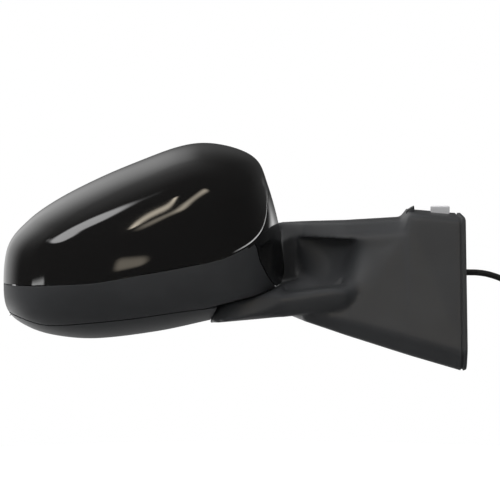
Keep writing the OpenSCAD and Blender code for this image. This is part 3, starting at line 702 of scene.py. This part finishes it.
def skin(bm, rings, closed=False):
    """Skin through rings of equally many points: capped, or with the last joined to the first."""
    loops = [ring(bm, points) for points in rings]
    for a, b in zip(loops, loops[1:] + loops[:1] * closed):
        ops.bridge_loops(bm, edges=a + b)
    if not closed:
        for loop in (loops[0], loops[-1]):
            ops.contextual_create(bm, geom=loop)
    face_outwards(bm)


def loft(bm, sections):
    """Closed form through sections: a place along X and an outline whose corners are rounded."""
    skin(bm, [[(x * MM, a * MM, b * MM) for a, b in eased(outline, 4)] for x, outline in sections])


def block(bm, low, high, edge, segments=3):
    """Box between two corners in millimetres, with rounded edges."""
    low, high = Vector(low), Vector(high)
    made = ops.create_cube(bm, size=1)["verts"]
    for v in made:
        v.co = Vector([(a + b) / 2 + c * (b - a) for a, b, c in zip(low, high, v.co)]) * MM
    bevelled(bm, list({e for v in made for e in v.link_edges}), edge, segments)


def lift(z):
    return Matrix.Translation((0, 0, z * MM))


def fold_matrix(z):
    """Moves to a height on the fold axis, which leans outboard."""
    return Matrix.Translation(row(0, 0, 0)) @ Matrix.Rotation(-LEAN, 4, "Y") @ lift(z)


def fold_cone(bm, low, high, height, z, segments):
    """Round tool about the fold axis, low and high its radii, that starts at the height z."""
    ops.create_cone(bm, cap_ends=True, segments=segments, radius1=low * MM, radius2=high * MM,
                    depth=height * MM, matrix=fold_matrix(z) @ lift(height / 2))


# --- head

CAP_LEFT, CAP_TOP, CAP_LOW = (-184, 55), (0, 113), (12.2, 56)  # corners of the cap's sheet
# Squares along and across each sheet
CAP_GRID, BAND_GRID, COVER_GRID, WALL_GRID = (150, 90), (170, 26), (130, 22), (24, 90)
CAP_EDGE = 2.2  # in edge radii
CALM_Y, CALM_PASSES = -20, 30  # the cap is relaxed in front of this
HIGHLIGHT_FROM_X, HIGHLIGHT_TO_Z = -12, 90  # the stretch of the seam where a highlight is painted on the rolled edge
HIGHLIGHT_GAP, HIGHLIGHT_SHARE = (0.25, 0.55, 1.0, 1.5), (0, 1, 1, 0)  # strength of the painted highlight by the gap to the seam
KEEL_GAP = 0.25  # more gap above the keel's seam
COVER_END = [(-31, -21.5), (-36, -30)]
# Section of the bezel by inset and depth: its crest, and the skirt behind that
CREST = [(0, 2.2), (0.8, 5), (2.4, 6.6), (4.4, 7), (6.2, 6.2), (7, 4)]
SPINE = (np.array([-150.0, 18.0]), np.array([-25.0, 52.0]))  # middle line that the bezel narrows to
SKIRT = [(7, -8), (5.2, -8), (5.2, 0.15)]
GLASS_INSET, GROUND_EDGE = 10.05, 0.45


def paint_edge_highlight(bm, line):
    """Marks the painted highlight on the rolled edge beside a line of points, fading at both ends."""
    points = np.array(line)
    layer = bm.verts.layers.float.new(PAINTED_EDGE_HIGHLIGHT)
    for v in bm.verts:
        gaps = norm(points - np.array(v.co), axis=1) / MM
        k = int(np.argmin(gaps))
        fade = min(1.0, 3.5 * k / len(points), 5 * (1 - (k + 1) / len(points)))
        v[layer] = fade * float(np.interp(gaps[k], HIGHLIGHT_GAP, HIGHLIGHT_SHARE))


class MIRROR_OT_cap(Operator):
    """Gloss cap over the front and top of the head"""

    bl_idname = "mirror.cap"
    bl_label = "Painted Cap"

    def execute(self, context):
        bowl, half, cap, _, _ = head_lines()
        seam = bowl.clipped(shifted(cap, half))
        rim = bowl.rim(angle_of(seam[-1]), angle_of(seam[0]))
        inboard = joined(between(rim, CAP_TOP, seam[-1]), between(seam, seam[-1], CAP_LOW), 200)
        place = coons(between(seam, seam[0], CAP_LOW), between(rim, CAP_LEFT, CAP_TOP),
                      between(rim, seam[0], CAP_LEFT), inboard[::-1])

        def dense_at_borders(u, v):
            return bowl.over(place(*((1 - math.cos(math.pi * s)) / 2 for s in (u, v))))
        bm = head_sheet(*CAP_GRID, dense_at_borders)
        calm = [v for v in bm.verts if not v.is_boundary and v.co.y < CALM_Y * MM]
        relax(bm, calm, CALM_PASSES, depth_only=True)
        paint_edge_highlight(bm, [bowl.over(q) for q in even(seam) if q[0] > HIGHLIGHT_FROM_X and q[1] < HIGHLIGHT_TO_Z])
        head_shell("cap_shell", bm, "paint", "painted_cap", CAP_EDGE)
        return {"FINISHED"}


class MIRROR_OT_housing(Operator):
    """Grained band and lower cover, and the gloss inboard wall"""

    bl_idname = "mirror.housing"
    bl_label = "Housing Shells"

    def execute(self, context):
        bowl, half, cap, keel, wall = head_lines()
        cap_low = even(bowl.clipped(shifted(cap, -half)))
        keel_up = even(bowl.clipped(shifted(keel, half + KEEL_GAP)))
        keel_low = even(bowl.clipped(shifted(keel, -half)))
        wall_in, wall_out = even(shifted(wall, -half)), even(shifted(wall, half))
        pad = np.array([(x, x * math.tan(LEAN) + half) for x in np.linspace(-60, 60, 400)])
        rim_low = bowl.clipped(pad[len(pad) // 2:])[-1]
        pad = even(pad)

        top_right, low_right = meet(cap_low, wall_in), meet(wall_in, pad)
        notch = meet(pad, keel_up)
        band = shell_patch(bowl, *BAND_GRID,
                           joined(between(keel_up, keel_up[0], notch), between(pad, notch, low_right)),
                           between(cap_low, cap_low[0], top_right),
                           bowl.rim(angle_of(keel_up[0]), angle_of(cap_low[0]), 60),
                           between(wall_in, low_right, top_right))
        head_shell("grained_band", band, "grained", "side_band")

        end = bowl.clipped(even([(-25, -8 - half), *COVER_END], 300))
        keel_end = meet(keel_low, end)
        bottom = bowl.rim(angle_of(keel_low[0]), angle_of(end[-1]))
        top = between(keel_low, keel_low[0], keel_end)
        cover = shell_patch(bowl, *COVER_GRID, bottom, top, straight(bottom[0], top[0]),
                            between(end, end[-1], keel_end))
        head_shell("keel_cover", cover, "grained", "lower_cover")

        joint, low_left = meet(cap_low, wall_out), meet(wall_out, pad)
        seam = joined(between(wall_out, low_left, joint), between(cap_low, joint, cap_low[-1]))
        rim = bowl.rim(angle_of(rim_low) - TURN, angle_of(cap_low[-1]))
        inboard = shell_patch(bowl, *WALL_GRID, between(pad, low_left, rim_low),
                              straight(seam[-1], rim[-1]), seam, rim)
        head_shell("inboard_wall", inboard, "trim", "rear_bezel")
        return {"FINISHED"}


def inward(q, w):
    """Point w inside a rim point, towards the head's middle line."""
    a, run = SPINE[0], SPINE[1] - SPINE[0]
    t = min(1, max(0, float(np.dot(q - a, run) / np.dot(run, run))))
    toward = a + run * t - q
    return q + toward / norm(toward) * w


class MIRROR_OT_bezel(Operator):
    """Gloss ring round the glass"""

    bl_idname = "mirror.bezel"
    bl_label = "Rear Bezel"

    def execute(self, context):
        steps = 260
        rim = bezel_rim(steps)
        section = [(0, 0.15), *spline(CREST, 3), *SKIRT]
        n = len(section)

        def place(u, v):
            inset, depth = section[int(round(v * n)) % n]
            p = inward(sampled(rim, u if u < 1 else 0), inset)
            return row(p[0], RIM_Y + depth, p[1])
        piece = finish_piece("bezel_ring", grid(steps, n, place), "head", "trim",
                             "rear_bezel")
        even_shading(piece)
        return {"FINISHED"}


class MIRROR_OT_glass(Operator):
    """Mirror glass with a ground edge"""

    bl_idname = "mirror.glass"
    bl_label = "Mirror Glass"

    def execute(self, context):
        low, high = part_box("mirror_glass")
        outline = [inward(q, GLASS_INSET) for q in bezel_rim(240)[:-1]]
        bm = bmesh.new()
        edges = ring(bm, [row(q[0], 0, q[1]) for q in outline])
        for v in bm.verts:
            v.co.y = low[1]
        face = ops.contextual_create(bm, geom=edges)["faces"]
        made = ops.extrude_face_region(bm, geom=face)["geom"]
        moved = [g for g in made if isinstance(g, BMVert)]
        ops.translate(bm, verts=moved, vec=(0, high[1] - low[1], 0))
        face_outwards(bm)
        sharp = [e for e in bm.edges if e.calc_face_angle(0) > 0.9]
        bevelled(bm, sharp, GROUND_EDGE, 2, clamp_overlap=True)
        piece = finish_piece("glass_plate", bm, "glass", "mirror", "mirror_glass")
        even_shading(piece)
        return {"FINISHED"}


# --- foot, in millimetres

# Outlines across X of the foot's blade and of its arm
DOOR_OUTLINE = [(-60, -46.5), (-50, -60.4), (46, -59), (46, 61), (-14, 61), (-27, 60)]
SECTIONS = [
    (8, DOOR_OUTLINE),
    (-5, DOOR_OUTLINE),
    (-45, [(-48, -35.8), (-39, -49.6), (45, -48), (45, 64.5), (-4, 64.5), (-13, 63)]),
    (-50, [(-46, -34.4), (-37, -48.2), (45, -46.5), (45, 58), (-4, 58), (-16, 47)]),
    (-96, [(-30, -23), (-22, -34.8), (48, -33), (50, 55), (12, 55), (0, 45)]),
    (-130, [(-21, -15.5), (-15, -23.8), (52, -23), (55, 53.8), (34, 53.6), (24, 44)]),
    (-147, [(10, -12), (14, -19.2), (56.5, -18), (60, 52.6), (53, 52.6), (48, 43)]),
    (-155.5, [(53.5, 16), (55, 10), (61.2, 10), (63, 51.8), (60, 51.8), (57.5, 44)])]
ARM_SECTIONS = [
    (-78, [(-18, -4), (-14, -12), (35, -19), (35, 7.4), (-16, 7.4), (-18, 3)]),
    (-97, [(-29.2, -6.2), (-24, -13.6), (34, -18), (34, 5.8), (-26, 5.8), (-29.3, 0.8)]),
    (-148, [(-28.5, -16), (-23, -20), (28, -18.5), (28, -1.2), (-25, -1.2), (-30, -6)])]
NECK = [(-28.1, -15.6), (-22.7, -19.5), (27.5, -18), (27.5, -1.7), (-24.8, -1.7), (-29.5, -6.1)]
NECK_XS = (-145.8, -146.5)
SHOULDER = [(-148.2, -9, 3.0), (-148.2, 23, 3.0)]
PAD_RINGS = ((35.7, -14), (28.6, -1.2), (27.8, -0.4))  # radius and height on the fold axis
TAB_FOOT_Z, TAB_Y = 58, 7.5
TAB_INBOARD, TAB_OUTBOARD = (-40.1, 9, 68.9), (-46.8, 12, 64.9)  # place along X, width and top
HEAD_ROOM = (54.5, 61.5, 90, -0.4, 128)  # radii, height, place on the axis, segments
HUB_HOLE = (19.1, 19.1, 8, -6, 96)
GLASS_ROOM = ((-165, 38, 4), (-147.8, 55.5, 47), 1.5)  # corners and rounding
SCOOPS = [((-142, -24, 42), (60, 52, 50)), ((-108, -28, 12), (23, 23, 23))]  # centre and half sizes
SCOOP_TOP = 42
SOFT_SPOTS = [((-86, -16, 23), 21, 220), ((-91, -25, 25), 26, 40), ((-131, 14, 17), 22, 120),
              ((-50, -14, 56), 12, 8)]  # centre, radius and smoothing passes
SOFT_PASSES = 4
VOXEL = 1.5
DOOR_END = -5.0


def scoop_form(bm, centre, half_sizes):
    """Rounded hollow in the foot's front, flat on top where the beam hangs over it."""
    at = Matrix.Translation(Vector(centre) * MM)
    ops.create_uvsphere(bm, u_segments=96, v_segments=64, radius=MM,
                        matrix=at @ Matrix.Diagonal((*half_sizes, 1)))
    top = trimmed(bm, (0, 0, SCOOP_TOP * MM), (0, 0, 1))
    if top:
        ops.contextual_create(bm, geom=top)
    face_outwards(bm)


def pad_form(bm):
    """Round pad under the head, drawn out to the arm's end and the beam's shoulder."""
    for radius, z in PAD_RINGS:
        ops.create_circle(bm, segments=96, radius=radius * MM, matrix=fold_matrix(z))
    for x, y, z in [(x, a, b) for x in NECK_XS for a, b in eased(NECK, 4)] + SHOULDER:
        bm.verts.new((x * MM, y * MM, z * MM))
    hull = ops.convex_hull(bm, input=bm.verts)
    spare = {g for g in hull["geom_interior"] + hull["geom_unused"] if isinstance(g, BMVert)}
    ops.delete(bm, geom=list(spare), context="VERTS")
    face_outwards(bm)


def tab_form(bm):
    """Upstanding tab where the top edge steps up: low and wide outboard, high and narrow inboard."""
    ops.create_cube(bm, size=1)
    for v in bm.verts:
        x, wide, top = TAB_INBOARD if v.co.x > 0 else TAB_OUTBOARD
        v.co = Vector((x, TAB_Y + v.co.y * wide, top if v.co.z > 0 else TAB_FOOT_Z)) * MM
    bevelled(bm, bm.edges[:], 0.7, 3)


def soften(bm):
    """Rounds the edges of an even skin, more so in the soft spots."""
    for centre, radius, passes in SOFT_SPOTS:
        near = [v for v in bm.verts if (v.co - Vector(centre) * MM).length < radius * MM]
        relax(bm, near, passes)
    relax(bm, bm.verts, SOFT_PASSES)


class MIRROR_OT_foot(Operator):
    """Grained cover of the foot, with its arm, beam and pad"""

    bl_idname = "mirror.foot"
    bl_label = "Foot Cover"

    def execute(self, context):
        piece = finish_piece("foot_shell", built(loft, SECTIONS), "foot", "grained",
                             "foot_cover")
        cut(piece, *[(scoop_form, *scoop) for scoop in SCOOPS], (fold_cone, *HEAD_ROOM),
            (block, *GLASS_ROOM))
        unite(piece, (loft, ARM_SECTIONS), (pad_form,))
        add_modifier(piece, "REMESH", mode="VOXEL", voxel_size=VOXEL * MM)
        apply_modifiers(piece)
        edit(piece, soften)
        unite(piece, (tab_form,))
        cut(piece, (fold_cone, *HUB_HOLE))
        edit(piece, lambda bm: trimmed(bm, (DOOR_END * MM, 0, 0), (1, 0, 0)))
        coat(piece, "grained")
        piece.data.shade_smooth()
        walled(piece)
        return {"FINISHED"}


# --- door end, in millimetres

SEAL_MIDDLE = np.array([-4.0, 0.0])
# Section of the seal: place along X, size of the outline there, and how far the lower corner is
# rounded back
SEAL_SECTION = [(-4.98, 0.80, 0), (-4.98, 0.98, 0), (-3.5, 0.98, 0), (-3.3, 0.992, 0), (-3, 1.0, 0),
                (-0.6, 1.0, 0.9), (-0.15, 0.994, 2.0), (0, 0.985, 2.9), (0, 0.83, 0), (-0.6, 0.80, 0)]
CLIP_BODY = ((-26, 18, 55.5), (-10.5, 23, 68), 1.1)
CLIP_FLANGE = ((-26, 14, 55.5), (-10.5, 27, 57.5), 0.5)


class MIRROR_OT_door_end(Operator):
    """Rubber seal and light clip at the door's end of the foot"""

    bl_idname = "mirror.door_end"
    bl_label = "Seal and Clip"

    def execute(self, context):
        outline = np.array(eased(DOOR_OUTLINE, 4, 8))
        rings = []
        for x, size, lift_by in SEAL_SECTION:
            q = SEAL_MIDDLE + (outline - SEAL_MIDDLE) * size
            q[:, 1] += lift_by * np.clip((-20 - q[:, 1]) / 20, 0, 1)
            rings.append([(x * MM, a * MM, b * MM) for a, b in q])
        seal = finish_piece("door_seal", built(skin, rings, True), "foot", "seal",
                            "door_gasket")
        rounded_edges(seal, 0.3 * MM, 50)

        clip = finish_piece("clip_block", built(block, *CLIP_BODY), "foot", "clip",
                            "locating_clip")
        unite(clip, (block, *CLIP_FLANGE))
        coat(clip, "clip")
        rounded_edges(clip, 0.15 * MM, 60)
        return {"FINISHED"}


# Name, CAD node, body, finish, slot and rounding of each
ROUNDED = (("casting_body", "base_casting", "foot", "cast", "cast_alloy", 0.7),
           ("bush_set", "door_bushes", "foot", "zinc", "zinc_steel", 0.35),
           ("glass_tray", "glass_holder", "glass", "nylon", "black_nylon", 0.4))


class MIRROR_OT_rounded(Operator):
    """Castings and mouldings that keep their frame's shape, with rounded edges"""

    bl_idname = "mirror.rounded"
    bl_label = "Rounded Parts"

    def execute(self, context):
        for name, node, body, finish, slot, edge in ROUNDED:
            bm = bmesh.new()
            bm.from_mesh(NODES[node].data)
            ops.remove_doubles(bm, verts=bm.verts, dist=2e-6)
            ops.dissolve_limit(bm, angle_limit=math.radians(1), verts=bm.verts, edges=bm.edges)
            piece = finish_piece(name, bm, body, finish, node)
            piece.data.set_sharp_from_angle(angle=math.radians(35))
            rounded_edges(piece, edge * MM, 50)
        return {"FINISHED"}


# --- cable and plug, in millimetres

CABLE_ROUTE = [(x, 8, z) for x, z in (
    (2, 14.4), (6, 14.4), (12, 14.2), (20, 13), (30, 9.8), (40, 5), (49, -1), (57, -9), (63, -20),
    (67, -33), (69, -48), (70, -65), (70, -90), (70, -120), (70, -150), (70, -178))]

# Blocks of the plug from the cable's end: two corners, rounding and its segments
PLUG_TOP = np.array(CABLE_ROUTE[-1], float)
PLUG_BODY = ((-11, -7, -32), (11, 7, -5.5), 1.2, 3)
CONTACT_ROOM = ((-9.4, -5.4, -33), (9.4, 5.4, -17), 0.6, 3)
LATCH = [((-3, 6.5, -21.5), (3, 9.1, -19.7), 0.4, 2), ((-2.6, 8, -21), (2.6, 9.1, -8.5), 0.4, 2),
         ((-3, 6.5, -9.9), (3, 8.4, -8.1), 0.4, 2),
         *[((-2.6, 8.7, z - 0.35), (2.6, 9.2, z + 0.35), 0.2, 2) for z in (-13.5, -15.5, -17.5)]]
RIBS = [((side * 10.9 - 0.35, -4.5, z - 0.4), (side * 10.9 + 0.1, 4.5, z + 0.4), 0.15, 2)
        for side in (-1, 1) for z in (-9 - 1.7 * k for k in range(6))]
BOOT = ((4.0, -6, 1.6), (3.3, -4.4, 1.0), (3.8, -3.4, 1.0), (3.1, -2.4, 0.8), (3.5, -1.6, 0.8),
        (2.9, -0.8, 0.8))  # radius, place and height of each ring
BOOT_OVERLAP = 0.02


class MIRROR_OT_cable(Operator):
    """Cable of the drive, which hangs from the foot down to its plug"""

    bl_idname = "mirror.cable"
    bl_label = "Cable"

    def execute(self, context):
        line = spline(CABLE_ROUTE, 4) * MM
        curve = bpy.data.curves.new("cable_run", "CURVE")
        curve.dimensions = "3D"
        curve.bevel_depth = sizes().cable_diameter / 2
        curve.bevel_resolution = 6
        curve.use_fill_caps = True
        run = curve.splines.new("POLY")
        run.points.add(len(line) - 1)
        for point, p in zip(run.points, line):
            point.co = (*p, 1)
        run.use_smooth = True
        cable = linked("cable_run", curve)
        coat(cable, "jacket")
        carry(cable, "foot", "cable")
        run_length = float(norm(np.diff(line, axis=0), axis=1).sum())
        return {"FINISHED"}


def plug_blocks(bm, *blocks):
    for low, high, edge, segments in blocks:
        block(bm, PLUG_TOP + low, PLUG_TOP + high, edge, segments)


def boot_form(bm):
    """Rings of the strain boot round the cable's end."""
    at = Matrix.Translation(Vector(PLUG_TOP) * MM)
    for radius, z, height in BOOT:
        ops.create_cone(bm, cap_ends=True, segments=48, radius1=radius * MM, radius2=radius * MM,
                        depth=(height + BOOT_OVERLAP) * MM, matrix=at @ lift(z + height / 2))


class MIRROR_OT_plug(Operator):
    """Ten-way connector on the cable's end: ribbed housing, latch and strain boot"""

    bl_idname = "mirror.plug"
    bl_label = "Plug"

    def execute(self, context):
        piece = finish_piece("plug_housing", built(plug_blocks, PLUG_BODY), "foot", "nylon",
                             "cable_plug", smooth=False)
        for form in ((plug_blocks, *LATCH), (plug_blocks, *RIBS), (boot_form,)):
            unite(piece, form)
        cut(piece, (plug_blocks, CONTACT_ROOM))
        coat(piece, "nylon")
        rounded_edges(piece, 0.15 * MM, 60)
        return {"FINISHED"}


# --- carried-over parts

CARRIED = {
    "nylon": "actuator_base actuator_cover head_frame",
    "acetal": "gimbal_ring pitch_plunger yaw_plunger pitch_wheel yaw_wheel bearing_washer",
    "brass": "pitch_worm yaw_worm plug_pins",
    "can": "pitch_motor yaw_motor",
    "zinc": "actuator_screws frame_screws pivot_post stop_ring spring_seat retaining_ring cover_screws",
    "spring": "fold_spring",
    "rubber": "cable_grommet",
}


class MIRROR_OT_carried(Operator):
    """Finishes of the parts that keep their frame's shape"""

    bl_idname = "mirror.carried"
    bl_label = "Carried Parts"

    def execute(self, context):
        for finish, names in CARRIED.items():
            for name in names.split():
                coat(NODES[name], finish)
        return {"FINISHED"}


# --- stage, in metres

# Strip lights that only reflections show: two ends by direction, width, blur and strength
WHITE_STRIPS = (((-0.765, -0.256, 0.556), (-0.577, -0.238, 0.76), 0.16, 0.05, 5.5),
                ((-0.985, -0.16, -0.10), (-0.93, -0.36, -0.09), 0.0, 0.035, 4.5))
WARM_STRIPS = (((-0.40, -0.74, 0.535), (-0.41, -0.57, 0.715), 0.0, 0.024, 11),
               ((-0.31, -0.80, 0.51), (-0.03, -0.61, 0.79), 0.0, 0.09, 6),
               ((-0.36, -0.93, -0.08), (-0.25, -0.96, -0.09), 0.03, 0.06, 2.2))
WHITE, WARM = (1, 1, 1), (1, 0.89, 0.72)
DIFFUSE_LEVEL = 0.7
# Name, place, sides and power of the lamps
LAMPS = (("key", (-0.75, -0.75, 1.05), (0.9, 0.5), 7.0),
         ("top", (-0.05, 0.05, 1.25), (1.1, 0.7), 13.0),
         ("side", (-1.15, -0.25, 0.2), (0.4, 0.4), 3.5))
MIDDLE = Vector((-0.1735, 0, 0.0332))  # what the camera and the lamps look at
LENS, SENSOR = 252.5, 36  # millimetres
FLOOR_RADIUS, FLOOR_X, FLOOR_DROP = 0.7, -0.17, 0.001


class Studio(Finish):
    """Surroundings of the object, by direction."""

    def __init__(self, world):
        super().__init__("studio", world.node_tree)
        self.direction = self.node("TexCoord")
        parts = self.node("SeparateXYZ", None, self.direction).socket.node.outputs
        self.x, self.y, self.z = (Field(self, part) for part in parts)

    def strip(self, start, end, width, blur):
        """Soft strip light seen between two directions."""
        a, b = Vector(start).normalized(), Vector(end).normalized()
        run = b - a
        along = self.node("VectorMath", {"operation": "DOT_PRODUCT"}, self.direction,
                          tuple(run / run.length_squared), out=1)
        share = (along - a.dot(run) / run.length_squared).clamp()
        nearest = self.node("VectorMath", {"operation": "MULTIPLY_ADD"}, tuple(run), share, tuple(a))
        away = self.node("VectorMath", {"operation": "DISTANCE"}, self.direction, nearest, out=1)
        return 1 - away.smooth(width / 2, width / 2 + blur)

    def strips(self, lights):
        return sum(self.strip(*light[:-1]) * light[-1] for light in lights)

    def soft_box(self):
        """Level of the reflected studio: a soft box up left, lights behind and to the left, and dark
        elsewhere."""
        left = (self.x * -1).smooth(0.0, 0.4)
        upper_left = (self.y.smooth(-0.3, 0.4) * self.z.smooth(-0.05, 0.65)
                      * (self.x * -1).smooth(-0.35, 0.5))
        behind = (self.y.smooth(0.8, 0.88) * self.z.smooth(-0.12, -0.05) * self.x.smooth(0.24, 0.38)
                  * (1 - self.z.smooth(0.0, 0.05)))
        low_back = self.y.smooth(0.2, 1.0) * (self.z * -1).smooth(0.05, 0.35)
        back_left = left * self.y.smooth(0.2, 0.7) * self.z.smooth(-0.45, -0.2)
        low_left = (left * self.y.smooth(0.1, 0.6) * self.z.smooth(-0.75, -0.45)
                    * (1 - self.z.smooth(-0.34, -0.16)))
        return (0.05 + upper_left * 0.38 + behind * 1.6 + low_back * 0.4 + back_left * 0.8 + low_left * 1.7
                + self.strips(WHITE_STRIPS))

    def light(self, tone, level):
        return self.node("Background", None, (*tone, 1), level)


def studio_world():
    """White to the camera, even to diffuse light, and a soft box with a few strips in reflections."""
    world = bpy.data.worlds.new("studio")
    world.use_nodes = True
    w = Studio(world)
    glossy = w.ray("Glossy")
    plain = w.ray("Camera") + w.ray("Transmission")
    level = plain + (1 - plain) * (glossy * w.soft_box() + (1 - glossy) * DIFFUSE_LEVEL)
    warm = (1 - plain) * glossy * w.strips(WARM_STRIPS)
    both = w.node("AddShader", None, w.light(WHITE, level), w.light(WARM, warm))
    w.node("OutputWorld", None, both)
    return world


def floor_finish():
    """White to the camera apart from the object's shadow; reflections see the studio beyond it."""
    f = Finish("pale_floor")
    shown = f.ray("Camera") + f.ray("Transmission")
    shade = f.node("BsdfDiffuse", None, (0.8, 0.8, 0.8, 1))
    glow = f.node("Emission", None, (1, 1, 1, 1), shown.clamp() * 0.55)
    matt = f.node("AddShader", None, shade, glow)
    clear = f.node("BsdfTransparent", None, (1, 1, 1, 1))
    f.node("OutputMaterial", None, f.node("MixShader", None, f.ray("Glossy"), matt, clear))
    return f.material


def look_along(direction):
    return direction.to_track_quat("-Z", "Y").to_euler()


class MIRROR_OT_stage(Operator):
    """Pale floor, soft light and the camera"""

    bl_idname = "mirror.stage"
    bl_label = "Stage"

    def execute(self, context):
        scene = context.scene
        scene.view_settings.view_transform = "Standard"
        bm = bmesh.new()
        ops.create_circle(bm, cap_ends=True, segments=96, radius=FLOOR_RADIUS)
        ops.translate(bm, verts=bm.verts, vec=(FLOOR_X, 0, CAD_BOX[0].z - FLOOR_DROP))
        floor = mesh_object("floor", bm)
        floor.data.materials.append(floor_finish())
        scene.world = studio_world()

        for name, at, sides, power in LAMPS:
            lamp = bpy.data.lights.new(name, "AREA")
            lamp.shape = "RECTANGLE"
            lamp.size, lamp.size_y = sides
            lamp.energy = power
            light = linked(name, lamp)
            light.location = at
            light.rotation_euler = look_along(MIDDLE - Vector(at))
            light.visible_glossy = False

        camera = linked("camera", bpy.data.cameras.new("camera"))
        camera.data.lens = LENS
        camera.data.sensor_width = SENSOR
        e = sizes().camera_elevation
        back = Vector((0, -math.cos(e), math.sin(e)))
        camera.location = MIDDLE + back * sizes().camera_distance
        camera.rotation_euler = look_along(-back)
        scene.camera = camera
        return {"FINISHED"}


# --- panel

OPERATORS = (MIRROR_OT_stage, MIRROR_OT_plug, MIRROR_OT_cable, MIRROR_OT_cap, MIRROR_OT_housing,
             MIRROR_OT_bezel, MIRROR_OT_glass, MIRROR_OT_foot, MIRROR_OT_door_end, MIRROR_OT_rounded,
             MIRROR_OT_carried)


class MIRROR_PT_panel(bpy.types.Panel):
    """Door mirror pieces"""

    bl_idname = "MIRROR_PT_panel"
    bl_label = "Door Mirror"
    bl_space_type = "VIEW_3D"
    bl_region_type = "UI"
    bl_category = "Door Mirror"

    def draw(self, context):
        for operator in OPERATORS:
            self.layout.operator(operator.bl_idname)
        for group in (sizes(), colours()):
            for key in group.bl_rna.properties.keys():
                if key not in ("rna_type", "name"):
                    self.layout.prop(group, key)


CLASSES = (MirrorSizes, MirrorColours, *OPERATORS, MIRROR_PT_panel)


def register():
    for cls in CLASSES:
        bpy.utils.register_class(cls)
    bpy.types.Scene.mirror_sizes = PointerProperty(type=MirrorSizes)
    bpy.types.Scene.mirror_colours = PointerProperty(type=MirrorColours)


def unregister():
    del bpy.types.Scene.mirror_colours
    del bpy.types.Scene.mirror_sizes
    for cls in reversed(CLASSES):
        bpy.utils.unregister_class(cls)


def main():
    register()
    for operator in OPERATORS:
        family, action = operator.bl_idname.split(".")
        getattr(getattr(bpy.ops, family), action)()


if __name__ == "__main__":
    main()
